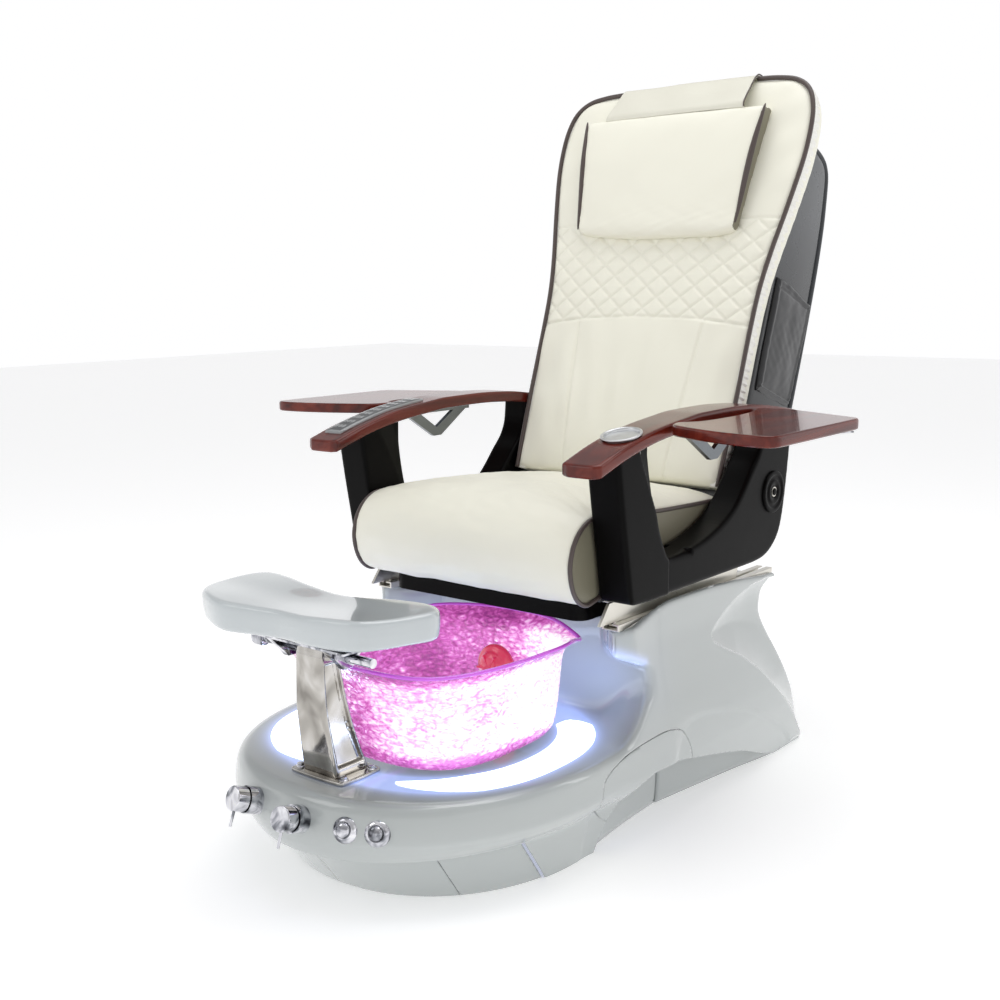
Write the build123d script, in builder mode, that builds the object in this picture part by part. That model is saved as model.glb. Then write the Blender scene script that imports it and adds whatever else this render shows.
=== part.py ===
from build123d import *
import os
from math import atan, cos, pi, radians, sin

os.makedirs("parts", exist_ok=True)

# Pedicure spa chair, millimetres.  +Z is up, the chair faces -Y and +X is the sitter's left.
# The origin lies on the floor, on the underside of the base frame's middle cross rail.

# ------------------------------------------------------------------ driving dimensions

FIT = 0.05                     # radial clearance of every running fit
GAP = 0.3                      # clearance round a piece that is let into another

# Base: levels of (height, nose y, half width, roundness of the nose, rear y)
NOSE_ROOT = -300               # where the rounded nose meets the straight sides
POD_LEVELS = [
    (92, -700, 318, 2.0, 470),
    (112, -712, 332, 2.1, 462),
    (135, -715, 342, 2.25, 452),
    (165, -695, 338, 2.3, 430),
    (183, -668, 325, 2.3, 415),
    (192, -648, 308, 2.3, 405),
]
DECK_Z = 192
SHELL_WALL = 6
DECK_WALL = 9
KICK_TOP = 91
KICK_REAR = -258
KICK_FLOOR_LEVEL = (0, -610, 285, 2.2, KICK_REAR)
KICK_TOP_LEVEL = (KICK_TOP, -690, 300, 2.1, KICK_REAR)
KICK_SEAMS = (14, 206)         # x of the kick panel's two seams
SKIRT_FRONT = -198
SKIRT_LEVELS = [(0, 328, 535), (92, 330, 470)]                # height, half width, rear y
PEDESTAL_LEVELS = [(150, 330, 430), (200, 322, 402), (260, 312, 372),
                   (320, 304, 352), (360, 300, 360), (390, 300, 380)]
PEDESTAL_TOP = 390
PEDESTAL_FRONT = -98           # flat wall behind the bowl
ARCH = [(-264, -1), (-226, 80), (-130, 122), (20, 103), (218, 54), (400, -1)]

# Foot bowl: levels of (height, half width, half length)
BOWL_Y = -357
BOWL_POWER = 3.1
BOWL_LEVELS = [(193, 190, 172), (203, 203, 185), (240, 208, 191),
               (330, 215, 205), (358, 225, 220), (374, 240, 246)]
BOWL_WALL = 7
DRAIN_R = 22
JET_Z = 270
JET_NECK_R = 18

# Light ring let into the deck
RING_OUTER = (292, 265, 2.4)   # half width, half length, roundness
RING_INNER = (224, 216, 2.2)
RING_DEPTH = 5
RING_END_Y = -125
RING_FRONT_GAP = (-68, 114)

GLAND_AT = (456, 120, 110)     # y, z, x of the mains cable gland
GLAND_R = 11

# Tap controls on the fascia
FASCIA_LEVEL = (150, -706, 341, 2.27)
FASCIA_TILT = 20               # degrees that the controls lean back
VALVE_X = (-82, 31)
BUTTON_X = (117, 166)
CONTROL_NECK_R = 15
VALVE_R = 23
VALVE_SEAT = 3.5               # flange's back face above the fascia plane
VALVE_FACE = 30
STEM_R = 9
BEZEL_SEAT = 2.5
BEZEL_FACE = 7
CAP_R = 12

# Footrest
POST_Y = -600
BOLT_GRID = (104, 64)
BOLT_R = 4
POST_HALF_TOP = 30
POST_HALF_FOOT = 40
REST_AXIS = (-630, 410)        # y, z of the tilt shaft
REST_SHAFT_R = 8
REST_SHAFT_HALF = 128
REST_BOTTOM = 437
REST_TOP = 497

# Seat
RAIL_X = 277
RAIL_FOOT_Z = 394
FRAME_Z = (441.5, 487)
CUSHION_HALF = 260
BACK_HINGE = (310, 577)        # y, z
PIN_R = 10

# Arms
ARM_INNER = 267
ARM_OUTER = 335
WOOD_OUTER = 344
WOOD_THICK = 23
ARM_CREST = [(-322, 703), (-238, 728), (-147, 747), (-51, 758), (10, 763),
             (108, 764), (212, 760), (284, 752), (350, 742), (396, 733)]
CUP_AT = (306, -200, 738)
CUP_R = 30
TRAY_TOP = 755
TRAY_THICK = 20
TRAY_HINGE = (350, 729)        # x, z
TRAY_PIN_R = 2.5

# Backrest: a plane leaning back, measured along its slope and behind its front face
BACK_LEAN = 19.8
BACK_PLANE = Plane(origin=(0, 314, 895), x_dir=(1, 0, 0),
                   z_dir=(0, -cos(radians(BACK_LEAN)), sin(radians(BACK_LEAN))))
BACK_OUTLINE = [(254, -318), (258, -150), (259, 0), (262, 90), (272, 170), (290, 270),
                (305, 360), (308, 430), (300, 490), (272, 528), (190, 546), (0, 552)]
BACK_PAD = 70
SHELL_HALF = 262
SHELL_SIDE = [(72, -330), (72, 432), (111, 440), (185, 441), (218, 412), (240, 305),
              (250, 151), (250, -3), (250, -120), (235, -240), (205, -330)]
MASSAGE_RAIL_X = 165
ROLLER_DEPTH = 112
ROLLER_R = 32
ACTUATOR_Z = 467
SHELL_THICK = 4
FRAME_SIDE_X = 238
LEVER_PIN_Y = 330


# ------------------------------------------------------------------ shared helpers

def write(piece, node):
    """Label a finished piece and export it as its own node."""
    piece.part.label = node
    export_step(piece.part, f"parts/{node}.step")


def superellipse(half_x, half_y, power, centre_y, steps=40):
    """Points round a superellipse in plan, starting on +X."""
    points = []
    for step in range(steps):
        turn = 2 * pi * step / steps
        c, s = cos(turn), sin(turn)
        x = half_x * abs(c) ** (2 / power) * (1 if c >= 0 else -1)
        y = half_y * abs(s) ** (2 / power) * (1 if s >= 0 else -1)
        points.append((x, centre_y + y))
    return points


def nose_y(x, front, half, power):
    """Plan depth of a rounded nose at a given x."""
    reach = NOSE_ROOT - front
    return NOSE_ROOT - reach * (1 - (abs(x) / half) ** power) ** (1 / power)


def plan_level(height, front, half, power, rear, inset=0):
    """One closed level of the base: a superelliptic nose on straight sides and a square rear."""
    half = half - inset
    reach = NOSE_ROOT - front - inset
    nose = []
    for step in range(25):
        turn = pi * step / 24
        c, s = cos(turn), sin(turn)
        x = half * abs(c) ** (2 / power) * (1 if c >= 0 else -1)
        nose.append((x, NOSE_ROOT - reach * abs(s) ** (2 / power)))
    with BuildSketch(Plane.XY.offset(height)) as level:
        with BuildLine():
            Spline(*nose, tangents=[(0, -1), (0, 1)])
            Polyline(nose[-1], (-half, rear - inset), (half, rear - inset), nose[0])
        make_face()
    return level.sketch


def pedestal_level(height, half, rear, inset=0):
    """One closed level of the pedestal, hollowed at the front to go round the bowl."""
    half = half - inset
    rear = rear - inset
    front = PEDESTAL_FRONT + inset
    with BuildSketch(Plane.XY.offset(height)) as level:
        with BuildLine():
            Polyline((half, -205 + inset), (half, rear), (-half, rear), (-half, -205 + inset),
                     (-258 - inset, -150 + inset), (-225, front), (225, front),
                     (258 + inset, -150 + inset), close=True)
        make_face()
    return level.sketch


def skirt_level(height, half, rear, inset=0):
    """One closed level of the two rear feet."""
    with BuildSketch(Plane.XY.offset(height)) as level:
        with BuildLine():
            Polyline((half - inset, SKIRT_FRONT), (half - inset, rear - inset),
                     (-half + inset, rear - inset), (-half + inset, SKIRT_FRONT), close=True)
        make_face()
    return level.sketch


def bowl_level(height, half_x, half_y):
    """One closed level of the bowl."""
    with BuildSketch(Plane.XY.offset(height)) as level:
        with BuildLine():
            Spline(*superellipse(half_x, half_y, BOWL_POWER, BOWL_Y), periodic=True)
        make_face()
    return level.sketch


def fascia_plane(x):
    """Plane on the fascia, looking out along the controls' own axis."""
    height, front, half, power = FASCIA_LEVEL
    step = 1.0
    slope = (nose_y(x + step, front, half, power) - nose_y(x - step, front, half, power)) / (2 * step)
    turn = atan(slope)
    lean = radians(FASCIA_TILT)
    out = (sin(turn) * cos(lean), -cos(turn) * cos(lean), sin(lean))
    return Plane(origin=(x, nose_y(x, front, half, power), height), x_dir=(cos(turn), sin(turn), 0),
                 z_dir=out)


def crest_block(x_low, x_high, lower, upper, points=ARM_CREST):
    """Solid band that follows the arm's crest between two offsets in height."""
    with BuildPart() as band:
        with BuildSketch(Plane.YZ.offset(x_low)):
            with BuildLine():
                top = Spline(*[(y, z + upper) for y, z in points])
                bottom = Spline(*[(y, z + lower) for y, z in points])
                Line(top @ 0, bottom @ 0)
                Line(top @ 1, bottom @ 1)
            make_face()
        extrude(amount=x_high - x_low)
    return band


def along_y(y, z, x=0):
    """Location whose local Z runs towards +Y."""
    return Location((x, y, z), (-90, 0, 0))


# ------------------------------------------------------------------ base shell and panels

def ring_band(inset, depth):
    """The light ring's band: open at the post in front and at the pedestal behind."""
    half_x, half_y, power = RING_OUTER
    inner_x, inner_y, inner_power = RING_INNER
    with BuildPart() as band:
        with BuildSketch(Plane.XY.offset(DECK_Z - RING_DEPTH)):
            with BuildLine():
                Spline(*superellipse(half_x - inset, half_y - inset, power, BOWL_Y), periodic=True)
            make_face()
            with BuildLine():
                Spline(*superellipse(inner_x + inset, inner_y + inset, inner_power, BOWL_Y), periodic=True)
            make_face(mode=Mode.SUBTRACT)
            with Locations((sum(RING_FRONT_GAP) / 2, -600)):
                Rectangle(RING_FRONT_GAP[1] - RING_FRONT_GAP[0] + 2 * inset, 140, mode=Mode.SUBTRACT)
            with Locations((0, RING_END_Y + 100 - inset)):
                Rectangle(700, 200, mode=Mode.SUBTRACT)
        extrude(amount=depth)
    return band

with BuildPart() as skin:
    loft([plan_level(*level) for level in POD_LEVELS], ruled=True)
    loft([skirt_level(*level) for level in SKIRT_LEVELS], ruled=True)
    loft([pedestal_level(*level) for level in PEDESTAL_LEVELS], ruled=True)
    inner_pod = [(min(z, DECK_Z - DECK_WALL), *rest) for z, *rest in POD_LEVELS[:-2]]
    inner_pod.append((DECK_Z - DECK_WALL, *POD_LEVELS[-2][1:]))
    loft([plan_level(*level, inset=SHELL_WALL) for level in inner_pod],
         ruled=True, mode=Mode.SUBTRACT)
    loft([skirt_level(z - 1 + z / 92, half, rear, inset=SHELL_WALL) for z, half, rear in SKIRT_LEVELS],
         ruled=True, mode=Mode.SUBTRACT)
    inner_pedestal = PEDESTAL_LEVELS[:-1] + [(PEDESTAL_TOP - SHELL_WALL, *PEDESTAL_LEVELS[-1][1:])]
    loft([pedestal_level(*level, inset=SHELL_WALL) for level in inner_pedestal],
         ruled=True, mode=Mode.SUBTRACT)
    with BuildSketch(Plane.YZ):
        with BuildLine():
            arch = Spline(*ARCH)
            Line(arch @ 0, arch @ 1)
        make_face()
    extrude(amount=400, both=True, mode=Mode.SUBTRACT)
    add(ring_band(0, RING_DEPTH).part, mode=Mode.SUBTRACT)
    with Locations((0, BOWL_Y, DECK_Z)):
        Cylinder(DRAIN_R + GAP, 60, mode=Mode.SUBTRACT)

DOOR = ((-235, -12), (128, 181))          # side access door: y span, z span
REAR_DOOR = ((-150, 150), (215, 335))     # rear cover: x span, z span
SEAM = 1.0

with BuildPart() as base_shell:
    add(skin.part)
    for side in (-1, 1):
        with Locations((side * 335, sum(DOOR[0]) / 2, sum(DOOR[1]) / 2)):
            Box(60, DOOR[0][1] - DOOR[0][0], DOOR[1][1] - DOOR[1][0], mode=Mode.SUBTRACT)
    with Locations((0, 370, sum(REAR_DOOR[1]) / 2)):
        Box(REAR_DOOR[0][1] - REAR_DOOR[0][0], 90, REAR_DOOR[1][1] - REAR_DOOR[1][0],
            mode=Mode.SUBTRACT)
    for x in VALVE_X + BUTTON_X:
        with BuildSketch(fascia_plane(x).offset(-40)):
            Circle(CONTROL_NECK_R + GAP)
        extrude(amount=60, mode=Mode.SUBTRACT)
    with Locations(along_y(*GLAND_AT)):
        Cylinder(GLAND_R + GAP, 60, mode=Mode.SUBTRACT)
    with Locations((0, POST_Y, DECK_Z)):
        with GridLocations(*BOLT_GRID, 2, 2):
            Cylinder(BOLT_R + GAP, 40, mode=Mode.SUBTRACT)
write(base_shell, "base_shell")

with BuildPart() as access_panels:
    add(skin.part)
    with Locations((-335, sum(DOOR[0]) / 2, sum(DOOR[1]) / 2),
                   (335, sum(DOOR[0]) / 2, sum(DOOR[1]) / 2)):
        Box(60, DOOR[0][1] - DOOR[0][0] - 2 * SEAM, DOOR[1][1] - DOOR[1][0] - 2 * SEAM,
            mode=Mode.INTERSECT)
write(access_panels, "access_panels")

with BuildPart() as rear_cover:
    add(skin.part)
    with Locations((0, 370, sum(REAR_DOOR[1]) / 2)):
        Box(REAR_DOOR[0][1] - REAR_DOOR[0][0] - 2 * SEAM, 90,
            REAR_DOOR[1][1] - REAR_DOOR[1][0] - 2 * SEAM, mode=Mode.INTERSECT)
write(rear_cover, "rear_access_cover")

with BuildPart() as kick_panel:
    loft([plan_level(*KICK_FLOOR_LEVEL), plan_level(*KICK_TOP_LEVEL)], ruled=True)
    loft([plan_level(*KICK_FLOOR_LEVEL, inset=4), plan_level(*KICK_TOP_LEVEL, inset=4)],
         ruled=True, mode=Mode.SUBTRACT)
    with Locations((0, KICK_REAR, 46)):
        Box(700, 20, 100, mode=Mode.SUBTRACT)
    for seam_x in KICK_SEAMS:
        with Locations((seam_x, -610, 46)):
            Box(1.5, 300, 100, mode=Mode.SUBTRACT)
write(kick_panel, "front_kick_panel")

SIDE_KICK = [(272, -250), (255, 7), (288, 215), (300, 300)]
with BuildPart() as side_kicks:
    with BuildSketch():
        with BuildLine():
            Polyline(*SIDE_KICK, *[(x - 4, y) for x, y in reversed(SIDE_KICK)], close=True)
        make_face()
    extrude(amount=127)
    mirror(about=Plane.YZ)
write(side_kicks, "side_kick_panels")

write(ring_band(GAP, RING_DEPTH + 1), "led_ring_lens")

# ------------------------------------------------------------------ bowl, drain and jet

with BuildPart() as bowl:
    loft([bowl_level(*level) for level in BOWL_LEVELS], ruled=True)
    hollow = [(BOWL_LEVELS[1][0] - 2, BOWL_LEVELS[0][1] - 6, BOWL_LEVELS[0][2] - 6)]
    hollow += [(z, a - BOWL_WALL, b - BOWL_WALL) for z, a, b in BOWL_LEVELS[2:-1]]
    hollow.append((BOWL_LEVELS[-1][0] + 0.5, BOWL_LEVELS[-1][1] - BOWL_WALL, BOWL_LEVELS[-1][2] - BOWL_WALL))
    loft([bowl_level(*level) for level in hollow], ruled=True, mode=Mode.SUBTRACT)
    with Locations((0, BOWL_Y, 196)):
        Cylinder(DRAIN_R + GAP, 40, mode=Mode.SUBTRACT)
    with Locations(Location((0, -160, JET_Z), (90, 0, 0))):
        Cylinder(JET_NECK_R + GAP, 60, mode=Mode.SUBTRACT)
write(bowl, "glass_bowl")

BOWL_FLOOR = BOWL_LEVELS[1][0] - 2
with BuildPart() as drain:
    with Locations((0, BOWL_Y, BOWL_FLOOR)):
        Cylinder(36, 3, align=(Align.CENTER, Align.CENTER, Align.MIN))
        Cylinder(DRAIN_R, 55, align=(Align.CENTER, Align.CENTER, Align.MAX))
    with Locations((0, BOWL_Y, BOWL_FLOOR + 3)):
        Hole(6)
        with PolarLocations(16, 8):
            Hole(3.5)
write(drain, "drain_fitting")

with BuildPart() as pump:
    with Locations((0, BOWL_Y, 0)):
        Box(130, 110, 6, align=(Align.CENTER, Align.CENTER, Align.MIN))
        Cylinder(46, 70, align=(Align.CENTER, Align.CENTER, Align.MIN))
    with Locations((0, BOWL_Y, 70)):
        Cylinder(DRAIN_R + 6, BOWL_FLOOR - 55 - 70, align=(Align.CENTER, Align.CENTER, Align.MIN))
    with Locations(Location((0, BOWL_Y + 40, 32), (-90, 0, 0))):
        Cylinder(13, 60, align=(Align.CENTER, Align.CENTER, Align.MIN))
write(pump, "drain_pump")


JET_FACE = -204
with BuildPart() as jet_cover:
    with Locations(along_y(JET_FACE, JET_Z)):
        Cylinder(42, 22, align=(Align.CENTER, Align.CENTER, Align.MIN))
    with Locations(along_y(JET_FACE + 4, JET_Z)):
        Cylinder(36, 14, align=(Align.CENTER, Align.CENTER, Align.MIN), mode=Mode.SUBTRACT)
    with Locations(along_y(JET_FACE - 1, JET_Z)):
        with PolarLocations(24, 8):
            Cylinder(5, 8, align=(Align.CENTER, Align.CENTER, Align.MIN), mode=Mode.SUBTRACT)
    with Locations(along_y(JET_FACE + 22, JET_Z)):
        Cylinder(JET_NECK_R, 32, align=(Align.CENTER, Align.CENTER, Align.MIN))
    with Locations(along_y(JET_FACE + 17, JET_Z)):
        Cylinder(4 + FIT, 40, align=(Align.CENTER, Align.CENTER, Align.MIN), mode=Mode.SUBTRACT)
write(jet_cover, "jet_cover")

with BuildPart() as impeller:
    with Locations(along_y(JET_FACE + 6, JET_Z)):
        Cylinder(9, 9, align=(Align.CENTER, Align.CENTER, Align.MIN))
        with PolarLocations(18, 6):
            Box(20, 4, 9, align=(Align.CENTER, Align.CENTER, Align.MIN))
    with Locations(along_y(JET_FACE + 15, JET_Z)):
        Cylinder(4, 32, align=(Align.CENTER, Align.CENTER, Align.MIN))
write(impeller, "jet_impeller")

with BuildPart() as jet_motor:
    with Locations(along_y(JET_FACE + 54, JET_Z)):
        Cylinder(36, 47, align=(Align.CENTER, Align.CENTER, Align.MIN))
    fillet(jet_motor.edges().filter_by(GeomType.CIRCLE), radius=4)
write(jet_motor, "jet_motor")

# ------------------------------------------------------------------ taps and push buttons

with BuildPart() as valve_bodies:
    for x in VALVE_X:
        face = fascia_plane(x)
        with BuildSketch(face.offset(-16)):
            Circle(CONTROL_NECK_R)
        extrude(amount=20)
        with BuildSketch(face.offset(VALVE_SEAT)):
            Circle(VALVE_R)
        extrude(amount=VALVE_FACE - VALVE_SEAT)
        with BuildSketch(face.offset(VALVE_FACE)):
            Circle(STEM_R + FIT)
        extrude(amount=-14, mode=Mode.SUBTRACT)
write(valve_bodies, "valve_bodies")

for side, x in zip(("right", "left"), VALVE_X):
    face = fascia_plane(x)
    with BuildPart() as knob:
        with BuildSketch(face.offset(VALVE_FACE - 12)):
            Circle(STEM_R)
        extrude(amount=14)
        with BuildSketch(face.offset(VALVE_FACE + 2)):
            Circle(21)
        extrude(amount=22)
        fillet(knob.edges().filter_by(GeomType.CIRCLE).sort_by(Axis.Y)[:1], radius=2)
        down = face.y_dir * -1
        with BuildSketch(Plane(origin=face.offset(VALVE_FACE + 14).origin + down * 15, z_dir=down)):
            Circle(2.6)
        extrude(amount=32)
    write(knob, f"valve_knob_{side}")

with BuildPart() as bezels:
    for x in BUTTON_X:
        face = fascia_plane(x)
        with BuildSketch(face.offset(-14)):
            Circle(CONTROL_NECK_R)
        extrude(amount=18)
        with BuildSketch(face.offset(BEZEL_SEAT)):
            Circle(21)
        extrude(amount=BEZEL_FACE - BEZEL_SEAT)
        with BuildSketch(face.offset(BEZEL_FACE)):
            Circle(CAP_R + FIT)
        extrude(amount=-16, mode=Mode.SUBTRACT)
write(bezels, "button_bezels")

for name, x in zip(("1", "2"), BUTTON_X):
    with BuildPart() as cap:
        with BuildSketch(fascia_plane(x).offset(BEZEL_FACE - 10)):
            Circle(CAP_R)
        extrude(amount=14)
        fillet(cap.edges().filter_by(GeomType.CIRCLE).sort_by(Axis.Y)[:1], radius=4)
    write(cap, f"button_cap_{name}")

# ------------------------------------------------------------------ base frame and services

TUBE = 40
FRAME_X = 200
with BuildPart() as base_frame:
    for side in (-1, 1):
        with Locations((side * FRAME_X, 95, 0)):
            Box(TUBE, 690, TUBE, align=(Align.CENTER, Align.CENTER, Align.MIN))
        with Locations((side * FRAME_X, 130, 344)):
            Box(TUBE, 430, TUBE, align=(Align.CENTER, Align.CENTER, Align.MIN))
        with Locations((side * FRAME_X, -65, TUBE), (side * FRAME_X, 325, TUBE)):
            Box(TUBE, TUBE, 304, align=(Align.CENTER, Align.CENTER, Align.MIN))
    with Locations((0, -230, 0), (0, 0, 0), (0, 420, 0)):
        Box(2 * FRAME_X - TUBE, TUBE, TUBE, align=(Align.CENTER, Align.CENTER, Align.MIN))
    with Locations((0, -65, 344), (0, 325, 344)):
        Box(2 * FRAME_X - TUBE, TUBE, TUBE, align=(Align.CENTER, Align.CENTER, Align.MIN))
write(base_frame, "base_frame")

with BuildPart() as power_box:
    with Locations((-60, 250, TUBE)):
        Box(170, 120, 95, align=(Align.CENTER, Align.CENTER, Align.MIN))
    fillet(power_box.edges().filter_by(Axis.Z), radius=8)
    with Locations((-60, 250, TUBE)):
        Box(210, 60, 4, align=(Align.CENTER, Align.CENTER, Align.MIN))
write(power_box, "power_box")

gland_y, gland_z, gland_x = GLAND_AT
with BuildPart() as gland:
    with Locations(along_y(gland_y - 14, gland_z, gland_x)):
        Cylinder(GLAND_R, 40, align=(Align.CENTER, Align.CENTER, Align.MIN))
    with Locations(along_y(gland_y + 16, gland_z, gland_x)):
        Cylinder(17, 6, align=(Align.CENTER, Align.CENTER, Align.MIN))
    with Locations(along_y(gland_y - 30, gland_z, gland_x)):
        Cylinder(4.5, 80, align=(Align.CENTER, Align.CENTER, Align.MIN), mode=Mode.SUBTRACT)
write(gland, "cable_gland")

RAIL_BED = (-190, 385)
with BuildPart() as lower_rails:
    with BuildSketch(Plane.XZ.offset(-RAIL_BED[0])):
        with Locations((RAIL_X, PEDESTAL_TOP + 6.5)):
            Rectangle(36, 13)
            Rectangle(28, 7, mode=Mode.SUBTRACT)
        with Locations((RAIL_X, PEDESTAL_TOP + 11)):
            Rectangle(8, 6, mode=Mode.SUBTRACT)
    extrude(amount=-(RAIL_BED[1] - RAIL_BED[0]))
    mirror(about=Plane.YZ)
write(lower_rails, "lower_rails")

# ------------------------------------------------------------------ footrest

POST_FRONT = [(-636, 198), (-646, 262), (-653, 325), (-652, 400)]
POST_REAR = [(-555, 198), (-576, 240), (-592, 294), (-604, 350), (-609, 400)]
SHAFT_Y, SHAFT_Z = REST_AXIS
with BuildPart() as post:
    with BuildSketch(Plane.YZ):
        with BuildLine():
            front = Spline(*POST_FRONT)
            rear = Spline(*POST_REAR)
            Line(front @ 0, rear @ 0)
            Polyline(front @ 1, (-651, SHAFT_Z), (-609, SHAFT_Z), rear @ 1)
        make_face()
        with Locations((SHAFT_Y, SHAFT_Z)):
            Circle(21)
    extrude(amount=60, both=True)
    with BuildSketch(Plane.XZ.offset(500)):
        with BuildLine():
            Polyline((-POST_HALF_FOOT, 190), (POST_HALF_FOOT, 190), (POST_HALF_TOP, 440),
                     (-POST_HALF_TOP, 440), close=True)
        make_face()
    extrude(amount=200, mode=Mode.INTERSECT)
    with Locations((0, POST_Y, DECK_Z)):
        Box(126, 96, 6, align=(Align.CENTER, Align.CENTER, Align.MIN))
    with BuildSketch(Plane.YZ):
        with Locations((SHAFT_Y, SHAFT_Z)):
            Circle(REST_SHAFT_R)
    extrude(amount=200, both=True, mode=Mode.SUBTRACT)
    with Locations((0, POST_Y, DECK_Z + 6)):
        with GridLocations(*BOLT_GRID, 2, 2):
            Hole(BOLT_R + GAP, depth=6)
write(post, "footrest_post")

with BuildPart() as post_bolts:
    with Locations((0, POST_Y, DECK_Z)):
        with GridLocations(*BOLT_GRID, 2, 2):
            Cylinder(BOLT_R, 14, align=(Align.CENTER, Align.CENTER, Align.MAX))
            Cylinder(BOLT_R, 6, align=(Align.CENTER, Align.CENTER, Align.MIN))
    with Locations((0, POST_Y, DECK_Z + 6)):
        with GridLocations(*BOLT_GRID, 2, 2):
            Cylinder(7, 5, align=(Align.CENTER, Align.CENTER, Align.MIN))
write(post_bolts, "post_bolts")

with BuildPart() as rest_shaft:
    with BuildSketch(Plane.YZ.offset(-REST_SHAFT_HALF)):
        with Locations((SHAFT_Y, SHAFT_Z)):
            Circle(REST_SHAFT_R)
    extrude(amount=2 * REST_SHAFT_HALF)
write(rest_shaft, "footrest_shaft")

with BuildPart() as rest_bracket:
    for x in (-72, 60):
        with BuildSketch(Plane.YZ.offset(x)):
            with BuildLine():
                Polyline((-680, 433), (-650, 404), (-640, 392), (-620, 392), (-610, 404), (-580, 433),
                         close=True)
            make_face()
            with Locations((SHAFT_Y, SHAFT_Z)):
                Circle(REST_SHAFT_R + FIT, mode=Mode.SUBTRACT)
        extrude(amount=12)
    with Locations((0, -630, 433)):
        Box(240, 110, REST_BOTTOM - 433, align=(Align.CENTER, Align.CENTER, Align.MIN))
write(rest_bracket, "footrest_bracket")

with BuildPart() as rest_pad:
    with BuildSketch(Plane.XY.offset(REST_BOTTOM)):
        with BuildLine():
            ThreePointArc((-196, -692), (0, -730), (196, -692))
            Polyline((196, -692), (226, -600), (204, -546))
            ThreePointArc((204, -546), (0, -576), (-204, -546))
            Polyline((-204, -546), (-226, -600), (-196, -692))
        make_face()
        fillet(vertices(), radius=14)
    extrude(amount=REST_TOP - REST_BOTTOM)
    with Locations(Location((0, -635, REST_TOP + 596), (90, 0, 0))):
        Cylinder(604, 400, mode=Mode.SUBTRACT)
    fillet(rest_pad.edges().group_by(Axis.Z)[0], radius=6)
write(rest_pad, "footrest_pad")

with BuildPart() as rest_knob:
    with BuildSketch(Plane.YZ.offset(-REST_SHAFT_HALF)):
        with Locations((SHAFT_Y, SHAFT_Z)):
            Circle(15)
    extrude(amount=-24)
    fillet(rest_knob.edges(), radius=5)
write(rest_knob, "footrest_knob")

# ------------------------------------------------------------------ seat carriage

with BuildPart() as seat_rails:
    with BuildSketch(Plane.YZ.offset(RAIL_X - 3)):
        with BuildLine():
            Polyline((-176, RAIL_FOOT_Z + 0.5), (256, RAIL_FOOT_Z + 0.5), (266, 430), (266, FRAME_Z[0]),
                     (-196, FRAME_Z[0]), (-226, 404.5), (-176, 404.5), close=True)
        make_face()
    extrude(amount=6)
    with Locations((RAIL_X, 40, RAIL_FOOT_Z + 0.5)):
        Box(24, 432, 3.5, align=(Align.CENTER, Align.CENTER, Align.MIN))
    with Locations((RAIL_X - 22, 35, FRAME_Z[0])):
        Box(40, 440, 3, align=(Align.CENTER, Align.CENTER, Align.MAX))
    mirror(about=Plane.YZ)
write(seat_rails, "seat_rails")

with BuildPart() as seat_frame:
    low, high = FRAME_Z
    for side in (-1, 1):
        with Locations((side * 248, 65, low)):
            Box(30, 530, high - low, align=(Align.CENTER, Align.CENTER, Align.MIN))
    with Locations((0, -185, low)):
        Box(470, 30, high - low, align=(Align.CENTER, Align.CENTER, Align.MIN))
    with Locations((0, 160, low)):
        Box(470, 40, 3.5, align=(Align.CENTER, Align.CENTER, Align.MIN))
    with Locations((0, -110, low)):
        Box(470, 40, 3.5, align=(Align.CENTER, Align.CENTER, Align.MIN))
    with Locations((0, 20, high)):
        Box(524, 410, 10, align=(Align.CENTER, Align.CENTER, Align.MIN))
write(seat_frame, "seat_frame")

with BuildPart() as front_panel:
    with BuildSketch(Plane.XY.offset(402)):
        with BuildLine():
            path = FilletPolyline((228, -120), (228, -208), (-228, -208), (-228, -120), radius=24)
            offset(amount=3, side=Side.BOTH, closed=True)
        make_face()
    extrude(amount=FRAME_Z[0] - 402)
write(front_panel, "seat_front_panel")

with BuildPart() as motor:
    with BuildSketch(Plane.XZ.offset(60)):
        with Locations((0, ACTUATOR_Z)):
            Circle(19)
    extrude(amount=-260)
    with Locations((0, -95, ACTUATOR_Z)):
        Box(90, 70, 36)
    with BuildSketch(Plane.XZ.offset(-45)):
        with Locations((0, ACTUATOR_Z)):
            Circle(8 + FIT)
    extrude(amount=-160, mode=Mode.SUBTRACT)
write(motor, "recline_motor")

with BuildPart() as rod:
    with BuildSketch(Plane.XZ.offset(-110)):
        with Locations((0, ACTUATOR_Z)):
            Circle(8)
    extrude(amount=-(LEVER_PIN_Y - 110))
    with BuildSketch(Plane.YZ.offset(-24)):
        with Locations((LEVER_PIN_Y, ACTUATOR_Z)):
            Circle(5)
    extrude(amount=48)
write(rod, "recline_rod")

with BuildPart() as seat_cushion:
    with BuildSketch(Plane.YZ.offset(-CUSHION_HALF)):
        with BuildLine():
            nose = Spline((-214, 452), (-250, 447), (-276, 480), (-284, 520), (-272, 560), (-232, 600),
                          (-150, 622), (-30, 618), (120, 600), (228, 578))
            Polyline(nose @ 1, (236, 520), (228, FRAME_Z[1] + 10.5), (-205, FRAME_Z[1] + 10.5), nose @ 0)
        make_face()
    extrude(amount=2 * CUSHION_HALF)
write(seat_cushion, "seat_cushion")

# ------------------------------------------------------------------ arms and trays

ARM_OUTLINE_FRONT = [(-256, 760), (-248, 684), (-213, 470)]
ARM_OUTLINE_SWEEP = [(-66, 508), (17, 517), (90, 534), (165, 571), (222, 632), (262, 684)]


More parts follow.
